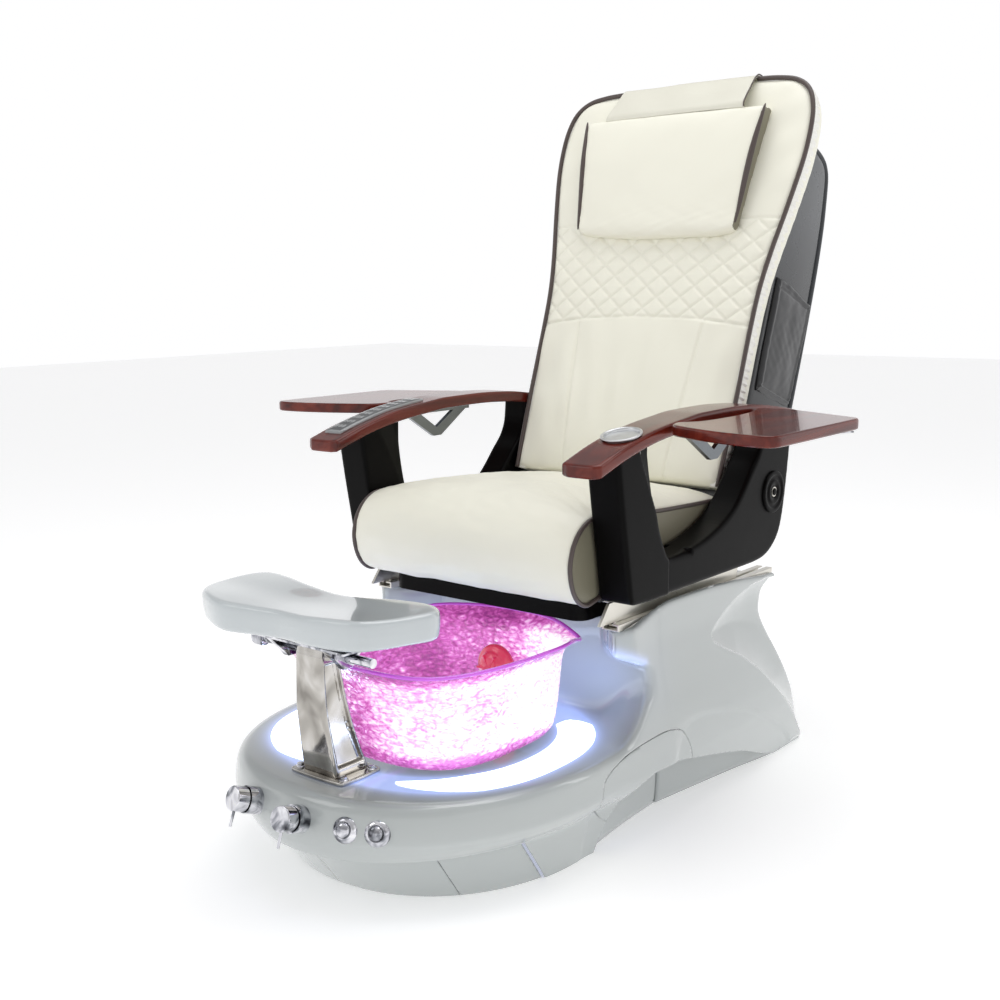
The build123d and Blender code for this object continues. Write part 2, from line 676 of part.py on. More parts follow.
def arm_frame(side):
    """Moulded arm: front post, sill and rear post in one U, bored for the back's pivot pin."""
    low, high = sorted((side * ARM_INNER, side * ARM_OUTER))
    with BuildPart() as frame:
        with BuildSketch(Plane.YZ.offset(low)):
            with BuildLine():
                Polyline(*ARM_OUTLINE_FRONT)
                foot = Spline((-213, 470), (-208, 453), (-197, 446), (-150, 443), tangents=[(0.1, -1), (1, 0)])
                Line(foot @ 1, (253, 443))
                heel = Spline((253, 443), (316, 462), (350, 496), (364, 553), (378, 640), (392, 720),
                              tangents=[(1, 0), (0.15, 1)])
                Polyline(heel @ 1, (394, 760), (270, 760), (262, 684))
                sweep = Spline(*reversed(ARM_OUTLINE_SWEEP), tangents=[(-0.1, -1), (-1, -0.05)])
                Spline(sweep @ 1, (-96, 520), (-130, 590), (-134, 675), (-98, 760))
                Line((-98, 760), ARM_OUTLINE_FRONT[0])
            make_face()
        extrude(amount=high - low)
        add(crest_block(-400, 400, -WOOD_THICK, 90).part, mode=Mode.SUBTRACT)
        with BuildSketch(Plane.YZ.offset(low - 1)):
            with Locations(BACK_HINGE):
                Circle(PIN_R + FIT)
        extrude(amount=high - low + 2, mode=Mode.SUBTRACT)
        if side > 0:
            with BuildSketch(cup_plane().offset(1)):
                Circle(CUP_R + 2 + GAP)
            extrude(amount=-63, mode=Mode.SUBTRACT)
    return frame


def cup_plane():
    """Plane on the sloping arm where the cup holder's rim lies."""
    return Plane(origin=CUP_AT, x_dir=(1, 0, 0), z_dir=(0, -0.235, 0.972))


def arm_top(side):
    """Wooden arm cap that follows the crest."""
    low, high = sorted((side * ARM_INNER, side * WOOD_OUTER))
    with BuildPart() as cap:
        add(crest_block(low, high, -WOOD_THICK, 0).part)
        fillet(cap.edges().filter_by(Axis.X), radius=3)
        if side > 0:
            with BuildSketch(cup_plane().offset(30)):
                Circle(CUP_R + 2 + GAP)
            extrude(amount=-90, mode=Mode.SUBTRACT)
    return cap


TRAY_EDGE = [(349, -92), (372, -56), (378, 20), (376, 85), (364, 148), (349, 196)]


def tray(side):
    """Side tray: rounded outer corners and a curved inner edge beside the arm."""
    with BuildPart() as plate:
        with BuildSketch(Plane.XY.offset(TRAY_TOP - TRAY_THICK)):
            with BuildLine():
                inner = Spline(*[(side * x, y) for x, y in TRAY_EDGE])
                front = Spline((side * 349, -92), (side * 395, -146), (side * 462, -178), (side * 530, -192))
                FilletPolyline(front @ 1, (side * 586, -186), (side * 584, 142), (side * 420, 214),
                               (side * 355, 208), inner @ 1, radius=12)
            make_face()
        extrude(amount=TRAY_THICK)
        chamfer(plate.edges().group_by(Axis.Z)[-1], length=1.2)
    return plate


def tray_leaf(side):
    """Hinge leaf under the tray, with two knuckles on the pin."""
    hinge_x, hinge_z = TRAY_HINGE
    with BuildPart() as leaf:
        with Locations((side * (hinge_x + 34), 50, TRAY_TOP - TRAY_THICK)):
            Box(48, 150, 2.5, align=(Align.CENTER, Align.CENTER, Align.MAX))
        for y in (10, 70):
            with BuildSketch(Plane.XZ.offset(-y)):
                with Locations((side * hinge_x, hinge_z)):
                    Circle(5)
                with Locations((side * (hinge_x + 7), hinge_z + 2)):
                    Rectangle(14, 3)
                with Locations((side * hinge_x, hinge_z)):
                    Circle(TRAY_PIN_R + FIT, mode=Mode.SUBTRACT)
            extrude(amount=-24)
    return leaf


def tray_bracket(side):
    """V bracket on the arm, with its knuckles and the hinge pin."""
    hinge_x, hinge_z = TRAY_HINGE
    low, high = sorted((side * 336, side * 345))
    with BuildPart() as bracket:
        with BuildSketch(Plane.YZ.offset(low)):
            with BuildLine():
                Polyline((-62, 733), (-20, 733), (44, 692), (112, 733), (152, 733), (58, 674), (34, 674),
                         close=True)
            make_face()
        extrude(amount=high - low)
        with Locations((side * 340.5, 45, 729)):
            Box(9, 214, 8)
        with BuildSketch(Plane.XZ.offset(-(-4))):
            with Locations((side * hinge_x, hinge_z)):
                Circle(TRAY_PIN_R)
        extrude(amount=-112)
        for y in (-4, 38, 98):
            with BuildSketch(Plane.XZ.offset(-y)):
                with Locations((side * hinge_x, hinge_z)):
                    Circle(5)
                with Locations((side * (hinge_x - 4), hinge_z)):
                    Rectangle(6, 6)
            extrude(amount=-(28 if y == 38 else 10))
    return bracket


def tray_latch(side):
    """Small release lever under the tray's rear outer corner."""
    with BuildPart() as lever:
        with BuildSketch(Plane.XY.offset(TRAY_TOP - TRAY_THICK - 6)):
            with Locations((side * 545, 95)):
                Circle(8)
            with Locations((side * 558, 115)):
                Rectangle(12, 44, rotation=-side * 30)
        extrude(amount=3)
        with BuildSketch(Plane.XY.offset(TRAY_TOP - TRAY_THICK - 3)):
            with Locations((side * 545, 95)):
                Circle(4)
        extrude(amount=3)
    return lever


SIDES = {"left": 1, "right": -1}
for name, side in SIDES.items():
    write(arm_frame(side), f"arm_frame_{name}")
    write(arm_top(side), f"arm_top_{name}")
    write(tray(side), f"tray_{name}")
    write(tray_leaf(side), f"tray_leaf_{name}")
    write(tray_bracket(side), f"tray_bracket_{name}")
    write(tray_latch(side), f"tray_latch_{name}")

with BuildPart() as pivot_caps:
    with BuildSketch(Plane.YZ.offset(ARM_OUTER)):
        with Locations(BACK_HINGE):
            Circle(42)
    extrude(amount=4)
    fillet(pivot_caps.edges().sort_by(Axis.X)[-1:], radius=2)
    mirror(about=Plane.YZ)
write(pivot_caps, "arm_pivot_caps")

with BuildPart() as cup:
    with BuildSketch(cup_plane()):
        Circle(CUP_R + 8)
    extrude(amount=2.5)
    with BuildSketch(cup_plane()):
        Circle(CUP_R + 2)
    extrude(amount=-60)
    with BuildSketch(cup_plane().offset(3)):
        Circle(CUP_R)
    extrude(amount=-61, mode=Mode.SUBTRACT)
write(cup, "cup_holder")

REMOTE_SPAN = [(-290, 713.6), (-238, 728), (-147, 747), (-51, 758)]
remote = crest_block(-328, -286, 0.2, 5, REMOTE_SPAN)
write(remote, "remote_panel")

# ------------------------------------------------------------------ backrest

SLOPE = BACK_PLANE.y_dir
OUT = BACK_PLANE.z_dir


def side_plane(x):
    """Plane across the back at x: local X runs behind the front face, local Y up the slope."""
    return Plane(origin=(x, 314, 895), x_dir=OUT * -1, z_dir=(OUT * -1).cross(SLOPE))


with BuildPart() as back_cushion:
    with BuildSketch(BACK_PLANE.offset(-BACK_PAD)):
        with BuildLine():
            edge = Spline(*BACK_OUTLINE)
            mirror(edge, about=Plane.YZ)
            Line((-BACK_OUTLINE[0][0], BACK_OUTLINE[0][1]), BACK_OUTLINE[0])
        make_face()
    extrude(amount=BACK_PAD - 8)
write(back_cushion, "back_cushion")

with BuildPart() as pillow:
    with BuildSketch(BACK_PLANE.offset(-7.5)):
        with BuildLine():
            FilletPolyline((-196, 215), (-222, 470), (222, 470), (196, 215), close=True, radius=22)
        make_face()
    extrude(amount=48)
write(pillow, "head_pillow")

with BuildPart() as flap:
    with BuildSketch(side_plane(-165)):
        with BuildLine():
            Polyline((-6, 478), (-6, 556.5), (BACK_PAD + 4, 556.5), (BACK_PAD + 4, 470), (BACK_PAD + 0.5, 470),
                     (BACK_PAD + 0.5, 553), (7.5, 553), (7.5, 478), close=True)
        make_face()
    extrude(amount=330)
write(flap, "pillow_flap")

with BuildPart() as back_shell:
    with BuildSketch(side_plane(-SHELL_HALF)):
        with BuildLine():
            Polyline(*SHELL_SIDE, close=True)
        make_face()
    extrude(amount=2 * SHELL_HALF)
    fillet(back_shell.edges().filter_by(Axis.X).filter_by(lambda e: e.center().Y > 560), radius=18)
    with BuildSketch(side_plane(-SHELL_HALF + SHELL_THICK)):
        with BuildLine():
            Polyline(*SHELL_SIDE, close=True)
        make_face()
        offset(amount=-SHELL_THICK, kind=Kind.INTERSECTION)
        with Locations((60, 55)):
            Rectangle(40, 730)
    extrude(amount=2 * (SHELL_HALF - SHELL_THICK), mode=Mode.SUBTRACT)
    with BuildSketch(Plane.XZ.offset(-200)):
        with Locations((0, 470)):
            Rectangle(90, 180)
    extrude(amount=-170, mode=Mode.SUBTRACT)
    with BuildSketch(Plane.YZ.offset(-SHELL_HALF - 1)):
        with Locations(BACK_HINGE):
            Circle(PIN_R + 2)
    extrude(amount=2 * SHELL_HALF + 2, mode=Mode.SUBTRACT)
write(back_shell, "back_shell")

with BuildPart() as pockets:
    with BuildSketch(side_plane(SHELL_HALF)):
        with BuildLine():
            FilletPolyline((78, -96), (78, 140), (226, 140), (238, -96), close=True, radius=14)
        make_face()
    extrude(amount=9)
    with BuildSketch(side_plane(SHELL_HALF)):
        with Locations((153, 60)):
            Rectangle(130, 170)
    extrude(amount=5, mode=Mode.SUBTRACT)
    mirror(about=Plane.YZ)
write(pockets, "side_pockets")

with BuildPart() as back_frame:
    for x in (-FRAME_SIDE_X - 6, FRAME_SIDE_X):
        with BuildSketch(side_plane(x)):
            with BuildLine():
                FilletPolyline((84, -312), (84, 415), (124, 415), (124, -312), close=True, radius=8)
            make_face()
        extrude(amount=6)
    for s in (395, -180):
        with BuildSketch(side_plane(-FRAME_SIDE_X)):
            with Locations((150, s)):
                Rectangle(24, 24)
            with Locations((122, s)):
                Rectangle(60, 4)
        extrude(amount=2 * FRAME_SIDE_X)
    with BuildSketch(Plane.YZ.offset(-FRAME_SIDE_X)):
        with Locations(BACK_HINGE):
            Circle(12)
    extrude(amount=2 * FRAME_SIDE_X)
    for x in (-20, 13):
        with BuildSketch(Plane.YZ.offset(x)):
            with BuildLine():
                Polyline((298, 577), (322, 577), (346, 444), (314, 444), close=True)
            make_face()
            with Locations((LEVER_PIN_Y, ACTUATOR_Z)):
                SlotCenterToCenter(16, 14, rotation=90, mode=Mode.SUBTRACT)
        extrude(amount=7)
write(back_frame, "back_frame")

with BuildPart() as pins:
    with BuildSketch(Plane.YZ.offset(FRAME_SIDE_X + 6)):
        with Locations(BACK_HINGE):
            Circle(PIN_R)
    extrude(amount=ARM_OUTER - 2 - FRAME_SIDE_X - 6)
    mirror(about=Plane.YZ)
write(pins, "back_pivot_pins")

with BuildPart() as massage_rails:
    for x in (-MASSAGE_RAIL_X - 6, MASSAGE_RAIL_X - 6):
        with BuildSketch(side_plane(x)):
            with Locations((144, 107.5)):
                Rectangle(12, 551)
        extrude(amount=12)
write(massage_rails, "massage_rails")

CARRIAGE_S = 0
with BuildPart() as carriage:
    with BuildSketch(side_plane(-MASSAGE_RAIL_X - 14)):
        with Locations((150, CARRIAGE_S)):
            Rectangle(36, 70)
    extrude(amount=2 * MASSAGE_RAIL_X + 28)
    with BuildSketch(side_plane(-MASSAGE_RAIL_X - 7)):
        with Locations((144, CARRIAGE_S)):
            Rectangle(13, 90)
    extrude(amount=14, mode=Mode.SUBTRACT)
    with BuildSketch(side_plane(MASSAGE_RAIL_X - 7)):
        with Locations((144, CARRIAGE_S)):
            Rectangle(13, 90)
    extrude(amount=14, mode=Mode.SUBTRACT)
    for x in (-100, 90):
        with BuildSketch(side_plane(x)):
            with Locations((120, CARRIAGE_S)):
                Rectangle(34, 34)
            with Locations((ROLLER_DEPTH, CARRIAGE_S)):
                Circle(8 + FIT, mode=Mode.SUBTRACT)
        extrude(amount=10)
    with BuildSketch(side_plane(-80)):
        with Locations((ROLLER_DEPTH, CARRIAGE_S)):
            Circle(ROLLER_R + 4)
    extrude(amount=160, mode=Mode.SUBTRACT)
write(carriage, "massage_carriage")

with BuildPart() as rollers:
    with BuildSketch(side_plane(-104)):
        with Locations((ROLLER_DEPTH, CARRIAGE_S)):
            Circle(8)
    extrude(amount=208)
    for x in (-72, -36, 12, 48):
        with BuildSketch(side_plane(x)):
            with Locations((ROLLER_DEPTH, CARRIAGE_S)):
                Circle(ROLLER_R)
        extrude(amount=24)
write(rollers, "kneading_rollers")
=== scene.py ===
import math
import random

import bmesh
import bpy
import numpy as np
from mathutils import Matrix, Vector, kdtree


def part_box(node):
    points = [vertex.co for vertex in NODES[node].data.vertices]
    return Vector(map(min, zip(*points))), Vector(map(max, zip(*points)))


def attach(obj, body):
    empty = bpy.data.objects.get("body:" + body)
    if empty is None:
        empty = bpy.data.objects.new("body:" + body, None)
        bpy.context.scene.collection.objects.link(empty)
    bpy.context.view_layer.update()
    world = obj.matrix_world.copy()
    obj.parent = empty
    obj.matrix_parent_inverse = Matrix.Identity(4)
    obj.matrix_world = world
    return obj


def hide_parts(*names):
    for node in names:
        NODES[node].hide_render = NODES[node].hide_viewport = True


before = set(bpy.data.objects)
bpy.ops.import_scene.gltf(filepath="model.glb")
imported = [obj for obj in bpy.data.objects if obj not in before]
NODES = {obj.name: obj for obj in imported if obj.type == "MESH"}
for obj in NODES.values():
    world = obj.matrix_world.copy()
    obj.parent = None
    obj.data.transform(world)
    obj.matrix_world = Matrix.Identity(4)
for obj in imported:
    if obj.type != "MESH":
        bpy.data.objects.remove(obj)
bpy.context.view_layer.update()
SIDES = {"left": 1, "right": -1}        # the sitter's left is +X
RNG = np.random.default_rng(7)

# ---------------------------------------------------------------- numbers shared by several pieces

LEAN = math.radians(19.8)
BACK_AT = np.array([0.0, 0.314, 0.895])
BACK_UP = np.array([0.0, math.sin(LEAN), math.cos(LEAN)])
BACK_OUT = np.array([0.0, -math.cos(LEAN), math.sin(LEAN)])
DECK_Z = 0.192
BOWL_Y = -0.357
TILT_AXIS = (-0.63, 0.41)                # y, z of the footrest's shaft
FLAP_ROWS = 90
SEAM = 0.0007                            # half the gap between two mouldings
SKIN = 0.0045                            # wall of the base mouldings


# ---------------------------------------------------------------- small maths

def curve(xs, ys):
    """Smooth curve through the points, flat beyond its ends."""
    xs, ys = np.array(xs, float), np.array(ys, float)
    slope = np.diff(ys) / np.diff(xs)
    mid = np.where(slope[:-1] * slope[1:] > 0, 2 * slope[:-1] * slope[1:] / (slope[:-1] + slope[1:] + 1e-12),
                   0)
    tangent = np.concatenate([[slope[0]], mid, [slope[-1]]])

    def at(x):
        x = np.clip(np.asarray(x, float), xs[0], xs[-1])
        i = np.clip(np.searchsorted(xs, x, side="right") - 1, 0, len(xs) - 2)
        h = xs[i + 1] - xs[i]
        t = (x - xs[i]) / h
        return ((1 + 2 * t) * (1 - t) ** 2 * ys[i] + t * (1 - t) ** 2 * h * tangent[i]
                + t * t * (3 - 2 * t) * ys[i + 1] + t * t * (t - 1) * h * tangent[i + 1])
    return at


def smooth(points, count, closed=False):
    """Evenly spaced points along a smooth curve through the given ones."""
    p = np.array(points, float)
    if closed:
        p = np.vstack([p[-2:], p, p[:3]])
    else:
        p = np.vstack([2 * p[0] - p[1], p, 2 * p[-1] - p[-2]])
    fine = []
    last = len(p) - 3
    for i in range(1, last + (0 if closed else 1)):
        a, b, c, d = p[i - 1], p[i], p[i + 1], p[i + 2]
        for t in np.linspace(0, 1, 40, endpoint=False):
            fine.append(0.5 * (2 * b + (c - a) * t + (2 * a - 5 * b + 4 * c - d) * t * t
                               + (3 * b - a - 3 * c + d) * t ** 3))
    if closed:
        fine = fine[40:]
        fine.append(fine[0])
    else:
        fine.append(p[-2])
    fine = np.array(fine)
    run = np.concatenate([[0], np.cumsum(np.linalg.norm(np.diff(fine, axis=0), axis=1))])
    want = np.linspace(0, run[-1], count, endpoint=not closed)
    return np.stack([np.interp(want, run, fine[:, k]) for k in range(p.shape[1])], 1)


def step(low, high, x):
    t = np.clip((x - low) / (high - low), 0, 1)
    return t * t * (3 - 2 * t)


def smax(a, b, k):
    h = np.clip(0.5 + 0.5 * (a - b) / k, 0, 1)
    return b + (a - b) * h + k * h * (1 - h)


def smin(a, b, k):
    return -smax(-a, -b, k)


def polygon_distance(u, v, points):
    """Distance to a closed polygon in a plane, negative inside."""
    p = np.array(points, float)
    best, inside = 1e9, False
    for (u0, v0), (u1, v1) in zip(p, np.roll(p, -1, axis=0)):
        du, dv = u1 - u0, v1 - v0
        t = np.clip(((u - u0) * du + (v - v0) * dv) / (du * du + dv * dv + 1e-12), 0, 1)
        best = np.minimum(best, np.hypot(u - u0 - t * du, v - v0 - t * dv))
        crosses = (v0 > v) != (v1 > v)
        with np.errstate(divide="ignore", invalid="ignore"):
            inside = inside ^ (crosses & (u < (v - v0) * du / (dv if dv else 1e-12) + u0))
    return np.where(inside, -best, best)


def line_distance(u, v, points):
    """Distance to an open line in a plane."""
    p = np.array(points, float)
    best = 1e9
    for (u0, v0), (u1, v1) in zip(p[:-1], p[1:]):
        du, dv = u1 - u0, v1 - v0
        t = np.clip(((u - u0) * du + (v - v0) * dv) / (du * du + dv * dv), 0, 1)
        best = np.minimum(best, np.hypot(u - u0 - t * du, v - v0 - t * dv))
    return best


def superellipse(turn, half_x, half_y, power):
    c, s = np.cos(turn), np.sin(turn)
    return (half_x * np.abs(c) ** (2 / power) * np.sign(c),
            half_y * np.abs(s) ** (2 / power) * np.sign(s))


def soft_noise(p, scale, seed=0):
    """Cheap smooth noise from crossed waves, about -1 to 1."""
    rng = random.Random(seed)
    total = np.zeros(len(p))
    for _ in range(6):
        d = np.array([rng.uniform(-1, 1) for _ in range(3)])
        d = d / np.linalg.norm(d) * rng.uniform(0.7, 1.6) / scale
        total += np.sin(p @ d * 2 * math.pi + rng.uniform(0, 6.28))
    return total / 3


# ---------------------------------------------------------------- mesh helpers

def new_object(name, verts, faces, flat=False):
    me = bpy.data.meshes.new(name)
    me.from_pydata([tuple(v) for v in verts], [], [tuple(int(i) for i in f) for f in faces])
    me.update()
    me.validate()
    ob = bpy.data.objects.new(name, me)
    bpy.context.scene.collection.objects.link(ob)
    me.polygons.foreach_set("use_smooth", [not flat] * len(me.polygons))
    return ob


def bell(x, at, width):
    """Smooth bell round one place."""
    return np.exp(-((x - at) / width) ** 2)


def edit(ob, *steps):
    """Runs bmesh steps on an object's mesh and turns its faces outwards."""
    bm = bmesh.new()
    bm.from_mesh(ob.data)
    for change in steps:
        change(bm)
    bmesh.ops.recalc_face_normals(bm, faces=bm.faces)
    bm.to_mesh(ob.data)
    bm.free()
    return ob


def fill_holes(bm):
    bmesh.ops.holes_fill(bm, edges=[e for e in bm.edges if e.is_boundary], sides=0)


def face_centres(ob):
    at = np.empty(len(ob.data.polygons) * 3)
    ob.data.polygons.foreach_get("center", at)
    return at.reshape(-1, 3)


def coords(ob):
    co = np.empty(len(ob.data.vertices) * 3)
    ob.data.vertices.foreach_get("co", co)
    return co.reshape(-1, 3)


def set_coords(ob, co):
    ob.data.vertices.foreach_set("co", np.asarray(co, np.float32).ravel())
    ob.data.update()


def normals(ob):
    no = np.empty(len(ob.data.vertices) * 3)
    ob.data.vertices.foreach_get("normal", no)
    return no.reshape(-1, 3)


def bake(ob):
    """Applies every modifier on the object."""
    dg = bpy.context.evaluated_depsgraph_get()
    dg.update()
    me = bpy.data.meshes.new_from_object(ob.evaluated_get(dg))
    old = ob.data
    ob.modifiers.clear()
    ob.data = me
    bpy.data.meshes.remove(old)
    return ob


def add_modifier(ob, kind, **values):
    m = ob.modifiers.new(kind.lower(), kind)
    for key, value in values.items():
        setattr(m, key, value)
    return m


def bevel(ob, width, segments=3, angle=30):
    """Rounds the sharp edges and shades flats cleanly."""
    add_modifier(ob, "BEVEL", width=width, segments=segments, limit_method="ANGLE",
                 angle_limit=math.radians(angle))
    add_modifier(ob, "WEIGHTED_NORMAL", keep_sharp=True, weight=80)
    return bake(ob)


def thicken(ob, amount):
    add_modifier(ob, "SOLIDIFY", thickness=amount, offset=-1)
    return bake(ob)


def grid(name, points, wrap_u=False, wrap_v=False):
    """Surface from a (rows, columns, 3) array of points."""
    rows, cols, _ = points.shape
    faces = []
    for i in range(rows if wrap_u else rows - 1):
        for j in range(cols if wrap_v else cols - 1):
            a, b = i * cols + j, i * cols + (j + 1) % cols
            c, d = ((i + 1) % rows) * cols + (j + 1) % cols, ((i + 1) % rows) * cols + j
            faces.append((a, b, c, d))
    return new_object(name, points.reshape(-1, 3), faces)


def loft(name, rings):
    """Solid skin over closed rings that have the same number of points."""
    rings = np.array(rings)
    n = rings.shape[1]

    def cap(bm):
        bm.verts.ensure_lookup_table()
        bm.faces.new([bm.verts[i] for i in range(n)][::-1])
        bm.faces.new([bm.verts[len(bm.verts) - n + i] for i in range(n)])
    return edit(grid(name, rings, wrap_v=True), cap)


def plate(name, outline, axis, low, high):
    """Solid from a closed outline pushed from low to high along an axis (0 X, 1 Y, 2 Z)."""
    others = [k for k in range(3) if k != axis]
    n = len(outline)
    verts = np.zeros((2 * n, 3))
    for k, level in enumerate((low, high)):
        verts[k * n:(k + 1) * n, others[0]] = [p[0] for p in outline]
        verts[k * n:(k + 1) * n, others[1]] = [p[1] for p in outline]
        verts[k * n:(k + 1) * n, axis] = level
    faces = [tuple(range(n)), tuple(range(2 * n - 1, n - 1, -1))]
    faces += [(i, i + n, (i + 1) % n + n, (i + 1) % n) for i in range(n)]
    return edit(new_object(name, verts, faces))


def frame_at(direction):
    """Two unit vectors across a direction."""
    d = np.array(direction, float)
    d = d / np.linalg.norm(d)
    side = np.cross(d, (0, 0, 1)) if abs(d[2]) < 0.95 else np.cross(d, (1, 0, 0))
    side = side / np.linalg.norm(side)
    return d, side, np.cross(side, d)


def lathe(name, profile, centre, direction, steps=64):
    """Turned solid: profile is (distance along the axis, radius)."""
    d, a, b = frame_at(direction)
    turn = np.linspace(0, 2 * math.pi, steps, endpoint=False)
    rings = []
    for along, radius in profile:
        r = max(radius, 1e-5)
        rings.append(np.array(centre) + along * d + np.outer(r * np.cos(turn), a) + np.outer(r * np.sin(turn),
                                                                                             b))
    return loft(name, rings)


def tube(name, path, radius, closed=False, steps=10, flatten=1.0):
    """Round bar along a path, without twist."""
    p = np.array(path, float)
    ahead = np.roll(p, -1, axis=0) - np.roll(p, 1, axis=0)
    if not closed:
        ahead[0], ahead[-1] = p[1] - p[0], p[-1] - p[-2]
    ahead /= np.linalg.norm(ahead, axis=1)[:, None]
    _, side, _ = frame_at(ahead[0])
    rings = []
    turn = np.linspace(0, 2 * math.pi, steps, endpoint=False)
    for point, d in zip(p, ahead):
        side = side - d * (side @ d)
        side /= np.linalg.norm(side)
        up = np.cross(d, side)
        rings.append(point + np.outer(np.cos(turn) * radius, side) + np.outer(np.sin(turn) * radius * flatten,
                                                                              up))
    if closed:
        return edit(grid(name, np.array(rings), wrap_u=True, wrap_v=True))
    return loft(name, rings)


def join(name, parts):
    """One mesh from several objects."""
    bm = bmesh.new()
    for part in parts:
        bm.from_mesh(part.data)
    me = bpy.data.meshes.new(name)
    bm.to_mesh(me)
    bm.free()
    for part in parts:
        bpy.data.objects.remove(part)
    ob = bpy.data.objects.new(name, me)
    bpy.context.scene.collection.objects.link(ob)
    return ob


def mirrored(ob, name):
    """A copy on the other side of the centre plane."""
    me = ob.data.copy()
    me.name = name
    twin = bpy.data.objects.new(name, me)
    bpy.context.scene.collection.objects.link(twin)
    co = coords(twin)
    co[:, 0] *= -1
    set_coords(twin, co)
    me.flip_normals()
    return twin


def surface(name, field, low, high, size):
    """Mesh of the zero level of field(x, y, z), which is negative inside."""
    axes = [np.arange(a, b + size, size) for a, b in zip(low, high)]
    x, y, z = np.meshgrid(*axes, indexing="ij", sparse=True)
    f = np.broadcast_to(field(x, y, z), tuple(len(a) for a in axes))
    solid = f < 0
    total = sum(solid[i:i + f.shape[0] - 1, j:j + f.shape[1] - 1, k:k + f.shape[2] - 1].astype(np.int8)
                for i in (0, 1) for j in (0, 1) for k in (0, 1))
    cells = np.argwhere((total > 0) & (total < 8))
    number = np.full(total.shape, -1, np.int32)
    number[tuple(cells.T)] = np.arange(len(cells))
    where, hits = np.zeros((len(cells), 3)), np.zeros(len(cells))
    corners = [(i, j, k) for i in (0, 1) for j in (0, 1) for k in (0, 1)]
    for a in corners:
        for axis in range(3):
            if a[axis]:
                continue
            b = tuple(c + (n == axis) for n, c in enumerate(a))
            fa, fb = f[tuple((cells + a).T)], f[tuple((cells + b).T)]
            cross = (fa < 0) != (fb < 0)
            t = np.where(cross, fa / np.where(fa == fb, 1, fa - fb), 0)
            at = np.array(a, float) + np.eye(3)[axis] * t[:, None]
            where += at * cross[:, None]
            hits += cross
    verts = (cells + where / hits[:, None]) * size + np.array(low)
    faces = []
    for axis in range(3):
        u, v = (axis + 1) % 3, (axis + 2) % 3
        a = [slice(None)] * 3
        b = [slice(None)] * 3
        a[axis], b[axis] = slice(0, -1), slice(1, None)
        change = solid[tuple(a)] != solid[tuple(b)]
        at = np.argwhere(change)
        at = at[(at[:, u] > 0) & (at[:, v] > 0) & (at[:, u] < f.shape[u] - 1) & (at[:, v] < f.shape[v] - 1)]
        eu, ev = np.eye(3, dtype=int)[u], np.eye(3, dtype=int)[v]
        quad = np.stack([number[tuple((at - eu - ev).T)], number[tuple((at - ev).T)],
                         number[tuple(at.T)], number[tuple((at - eu).T)]], 1)
        outward = solid[tuple(at.T)]
        quad[~outward] = quad[~outward][:, ::-1]
        faces.append(quad)
    faces = np.vstack(faces)
    eps = size * 0.2
    for _ in range(3):
        px, py, pz = verts.T
        f0 = field(px, py, pz)
        grad = np.stack([field(px + eps, py, pz) - f0, field(px, py + eps, pz) - f0,
                         field(px, py, pz + eps) - f0], 1) / eps
        move = -f0[:, None] * grad / np.maximum((grad ** 2).sum(1), 0.05)[:, None]
        length = np.linalg.norm(move, axis=1)[:, None]
        verts = verts + move * np.minimum(1, 0.4 * size / np.maximum(length, 1e-9))
    return new_object(name, verts, faces)


def clip(ob, keep, name=None):
    """The part of a mesh where keep(points) is positive, cut cleanly along its zero line."""
    bm = bmesh.new()
    bm.from_mesh(ob.data)
    value = keep(coords(ob))
    layer = bm.verts.layers.float.new("keep")
    for v, g in zip(bm.verts, value):
        v[layer] = g if abs(g) > 1e-7 else 1e-7
    crossing = [e for e in bm.edges if (e.verts[0][layer] > 0) != (e.verts[1][layer] > 0)]
    touched = {f for e in crossing for f in e.link_faces}
    fresh = set()
    for e in crossing:
        a, b = e.verts
        ga, gb = a[layer], b[layer]
        _, v = bmesh.utils.edge_split(e, a, ga / (ga - gb))
        v[layer] = 0
        fresh.add(v)
    for f in touched:
        cut = [v for v in f.verts if v in fresh]
        if len(cut) == 2:
            try:
                bmesh.utils.face_split(f, cut[0], cut[1])
            except ValueError:
                pass
    gone = [f for f in bm.faces if min(v[layer] for v in f.verts) < 0]
    bmesh.ops.delete(bm, geom=gone, context="FACES")
    loose = [v for v in bm.verts if not v.link_faces]
    bmesh.ops.delete(bm, geom=loose, context="VERTS")
    bm.verts.layers.float.remove(layer)
    me = bpy.data.meshes.new(name or ob.name)
    bm.to_mesh(me)
    bm.free()
    if name is None:
        ob.data = me
        return ob
    new = bpy.data.objects.new(name, me)
    bpy.context.scene.collection.objects.link(new)
    return new


def place(ob, body, material, slot, *nodes):
    """Gives a piece its material and its body, and hides the CAD nodes it stands for; the slot is not used.
    """
    ob.data.materials.clear()
    ob.data.materials.append(material)
    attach(ob, body)
    if nodes:
        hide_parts(*nodes)
    return ob


